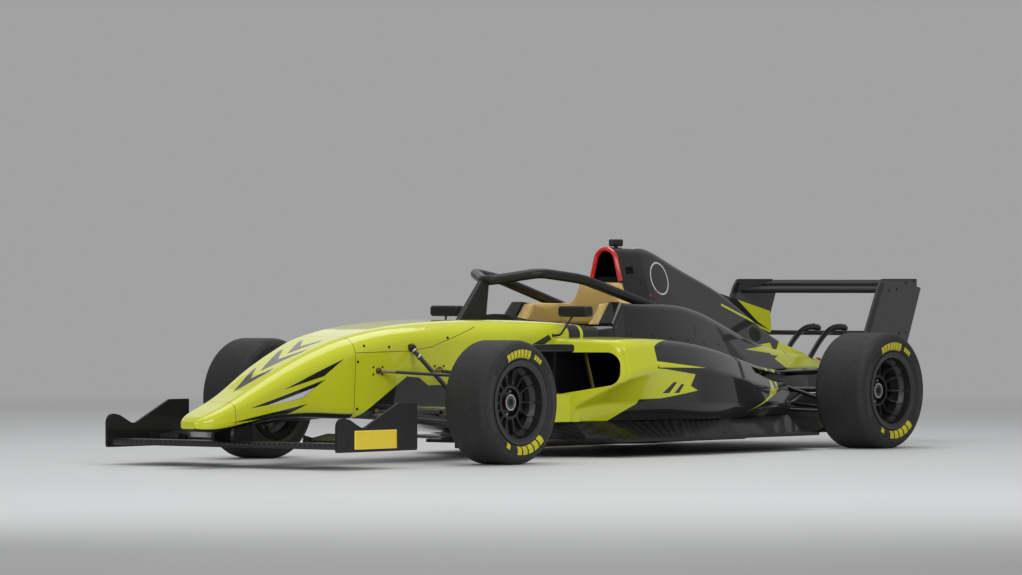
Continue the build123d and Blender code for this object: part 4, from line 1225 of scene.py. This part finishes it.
lensSize = {
    "radius": 0.0125, "depth": 0.006, "mid": (-1.729, 0.977), "border": 0.003, "moves": (-0.003, 0.002),
}


def cameraEye():
    x, z = lensSize["mid"]
    place, turn = (x + frontAxle, 0, z), (0, math.radians(90), 0)
    lens = addBarrel("lens", lensSize["radius"], lensSize["depth"], place, turn, 28)
    pickFaces(settle(lens), lambda face: face.normal.x > 0.9)
    for move in lensSize["moves"]:
        bpy.ops.mesh.inset(thickness=lensSize["border"])
        pullOut((move, 0, 0))
    closeEdit()
    soften(lens, 0.0006)
    glass = Finish("lensGlass", (0.010, 0.012, 0.018), 0.08, coat=1.0)
    glass.mottle(200.0, 0.8, 1.2)
    keep(lens, "chassis", glass)
    lens.name = "camera_lens"


lampSize = {"size": (0.008, 0.078, 0.062), "z": 0.311, "border": 0.005, "cuts": 5, "groove": 0.0016}


def rainLamp():
    low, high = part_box("crash_structure")
    lens = settle(addBlock("lens", lampSize["size"], (low.x - 0.001, 0, lampSize["z"])))
    pickFaces(lens, lambda face: face.normal.x < -0.9)
    bpy.ops.mesh.inset(thickness=lampSize["border"])
    bpy.ops.mesh.subdivide(number_cuts=lampSize["cuts"])
    bpy.ops.mesh.inset(thickness=lampSize["groove"], use_individual=True)
    pullOut((-lampSize["groove"], 0, 0))
    closeEdit()
    soften(lens, 0.0006, 1)
    glow = Finish("lampRed", (0.30, 0.008, 0.010), 0.22, coat=0.8)
    glow.mottle(90.0, 0.8, 1.25)
    keep(lens, "chassis", glow)
    lens.name = "rain_lamp"


inletStrut = {"top": (-0.985, 0.403, 0.477), "foot": (-0.985, 0.454, 0.298), "chord": 0.020, "thick": 0.006}


def inletStruts():
    made = []
    for sign in sides.values():
        ends = (inletStrut["top"], inletStrut["foot"])
        top, foot = [Vector((p[0] + frontAxle, p[1] * sign, p[2])) for p in ends]
        bar = addBlock("bar", (inletStrut["chord"], inletStrut["thick"], (top - foot).length))
        pickFaces(settle(bar), lambda face: face.normal.x < -0.9)
        bpy.ops.transform.resize(value=(1, 0.3, 1))
        closeEdit()
        soften(bar, 0.0014)
        aim = (top - foot).to_track_quat("Z", "X").to_matrix().to_4x4()
        bar.matrix_world = Matrix.Translation((top + foot) / 2) @ aim
        made.append(settle(bar))
    strutGold = metalFinish("strutGold", (0.34, 0.26, 0.15), 0.3, 0.42, grain=60.0)
    keep(merged("inlet_struts", made), "chassis", strutGold)


# Fairings that lead the tub's sides out to the engine cover
fairing = {
    "x": (-1.195, -1.312), "z": (0.500, 0.525, 0.550, 0.572, 0.588), "proud": 0.0012, "thick": 0.003,
    "tubTop": 0.2906, "coverFoot": 0.515,  # half width at the tub's top, height of the cover's foot
}


def coverFairings():
    made = []
    for sign in sides.values():
        rails = []
        tubX, coverX = fairing["x"]
        starts = [fromSide("monocoque", tubX, z, sign) for z in fairing["z"][:-1]]
        starts.append(fromTop("monocoque", tubX, sign * fairing["tubTop"]))  # a level ray would graze it
        for z, (a, outA) in zip(fairing["z"], starts):
            b, outB = fromSide("engine_cover", coverX, max(z, fairing["coverFoot"]), sign)
            rails.append((a + outA * fairing["proud"], Vector((b.x, b.y, z)) + outB * fairing["proud"]))
        strip = ribbon("strip", rails)
        modify(strip, "SOLIDIFY", thickness=fairing["thick"], offset=0.0)
        made.append(soften(strip, 0.001))
    piece = merged("cover_fairings", made)
    bpy.ops.object.mode_set(mode="EDIT")
    bpy.ops.mesh.select_all(action="SELECT")
    bpy.ops.mesh.normals_make_consistent(inside=False)
    closeEdit()
    skin = paintwork("fairingPaint", paints["charcoal"])
    coatOver(skin)
    keep(piece, "chassis", skin)


coverFairings()

# Round red hoop about the intake's mouth
hoop = {"foot": (-1.681, 0.0845, 0.796), "lean": 14.1, "top": 0.9475, "bend": 0.0595, "tube": 0.0115}


def intakeHoop():
    x, y, z = hoop["foot"]
    x += frontAxle
    lean, middle = math.radians(hoop["lean"]), hoop["top"] - hoop["bend"]
    rise = (middle + hoop["bend"] * math.sin(lean) - z) / math.cos(lean)
    clearPick()
    bpy.ops.mesh.primitive_circle_add(vertices=20, radius=hoop["tube"], location=(x, y, z),
                                      rotation=(lean, 0, 0))
    piece = settle(called("intake_hoop"))
    bpy.ops.object.mode_set(mode="EDIT")
    bpy.ops.mesh.select_mode(type="VERT")  # a bare ring has no face to pick
    bpy.ops.mesh.select_all(action="SELECT")
    pullOut((0, -rise * math.sin(lean), rise * math.cos(lean)))
    bpy.ops.mesh.spin(steps=18, angle=math.pi - 2 * lean, center=(x, 0, middle), axis=(-1, 0, 0))
    pullOut((0, -rise * math.sin(lean), -rise * math.cos(lean)))
    bpy.ops.mesh.select_all(action="SELECT")
    bpy.ops.mesh.fill_holes(sides=0)
    bpy.ops.mesh.normals_make_consistent(inside=False)
    closeEdit()
    keep(soften(piece, 0.002), "chassis", redGloss)
    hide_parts("intake_trim")


airWindow = {"mid": (-1.758, 0.847), "size": (0.048, 0.034, 0.004), "border": 0.003, "sink": 0.0012}


def airboxWindow():
    made = []
    for sign in sides.values():
        place, normal = fromSide("airbox", *airWindow["mid"], sign)
        sheet = addBlock("sheet", airWindow["size"])
        press(settle(sheet), facingUp, airWindow["border"], (0, 0, -airWindow["sink"]))
        soften(sheet, 0.0006)
        across = Vector((1, 0, 0)) - normal * normal.x
        across.normalize()
        turn = Matrix((across, normal.cross(across), normal)).transposed().to_4x4()
        sheet.matrix_world = Matrix.Translation(place) @ turn
        made.append(settle(sheet))
    frameBlack = Finish("windowBlack", (0.003, 0.003, 0.003), 0.45, shine=0.1)
    frameBlack.mottle(60.0, 0.7, 1.3)
    frameBlack.polish(0.3, 0.6, 50.0)
    keep(merged("airbox_windows", made), "chassis", frameBlack)


mirrorGlass()
cameraEye()
rainLamp()
inletStruts()
intakeHoop()
airboxWindow()
print("small fittings done")


# Camera at the photograph's place
camera = {
    "place": (19.225, 14.789, 0.792), "bearing": 37.932, "rise": 0.059,
    "focal": 5264.2, "imageWidth": 1022,
}


def placeCamera():
    bearing, rise = math.radians(camera["bearing"]), math.radians(camera["rise"])
    back = Vector((math.cos(bearing) * math.cos(rise), math.sin(bearing) * math.cos(rise), math.sin(rise)))
    right = Vector((-math.sin(bearing), math.cos(bearing), 0))
    data = bpy.data.cameras.new("photoCamera")
    data.sensor_fit, data.sensor_width = "HORIZONTAL", 36.0
    data.lens = camera["focal"] * data.sensor_width / camera["imageWidth"]
    data.clip_end = 200.0
    eye = bpy.data.objects.new("photoCamera", data)
    bpy.context.scene.collection.objects.link(eye)
    turn = Matrix((right, back.cross(right), back)).transposed().to_4x4()
    eye.matrix_world = Matrix.Translation(camera["place"]) @ turn
    bpy.context.scene.camera = eye


# Pale floor that fades into a pale surround, and soft lamps
studio = {
    "pale": (0.62, 0.63, 0.64), "fade": (5.0, 13.0), "sky": 0.36,
    "lamps": [("overhead", (0.0, 0.0, 5.2), (0, 0, 0), (6.5, 3.2), 165),
              ("side", (3.0, 7.0, 3.2), (0.3, 0, 0.4), (5.0, 2.0), 150),
              ("front", (7.5, 2.0, 2.6), (0.8, 0, 0.3), (3.0, 2.0), 75),
              ("far", (-4.5, -6.5, 4.6), (-0.5, 0, 0.5), (9.0, 4.0), 70)],
}


def layFloor():
    clearPick()
    bpy.ops.mesh.primitive_circle_add(vertices=96, radius=30.0, fill_type="NGON")
    floor = called("studio_floor")
    f = Finish("paleFloor", studio["pale"], 0.55)
    f.mottle(0.8, 0.985, 1.015)
    away = f.radius(f.x, f.y, 0.0, 0.0)
    near, far = studio["fade"]
    fade = f.calc("MULTIPLY_ADD", away, 1 / (far - near), -near / (far - near), clamp=True)
    clear = f.node("ShaderNodeBsdfTransparent")
    mixed = f.node("ShaderNodeMixShader")
    f.link(fade, mixed.inputs[0])
    f.link(f.shader.outputs[0], mixed.inputs[1])
    f.link(clear.outputs[0], mixed.inputs[2])
    f.link(mixed.outputs[0], f.tree.nodes["Material Output"].inputs["Surface"])
    floor.data.materials.append(f.material)


def hangLamps():
    for name, place, aim, size, power in studio["lamps"]:
        data = bpy.data.lights.new(name, "AREA")
        data.shape, data.size, data.size_y, data.energy = "RECTANGLE", size[0], size[1], power
        lamp = bpy.data.objects.new(name, data)
        bpy.context.scene.collection.objects.link(lamp)
        way = Vector(aim) - Vector(place)
        lamp.matrix_world = Matrix.Translation(place) @ way.to_track_quat("-Z", "Y").to_matrix().to_4x4()


def paleSurround():
    world = bpy.data.worlds.new("paleSurround")
    bpy.context.scene.world = world
    world.use_nodes = True
    tree = world.node_tree
    sky = tree.nodes["Background"]
    sky.inputs["Color"].default_value, sky.inputs["Strength"].default_value = (1, 1, 1, 1), studio["sky"]


placeCamera()
layFloor()
hangLamps()
paleSurround()
bpy.context.scene.view_settings.view_transform = "Standard"
print("camera, floor and light set")
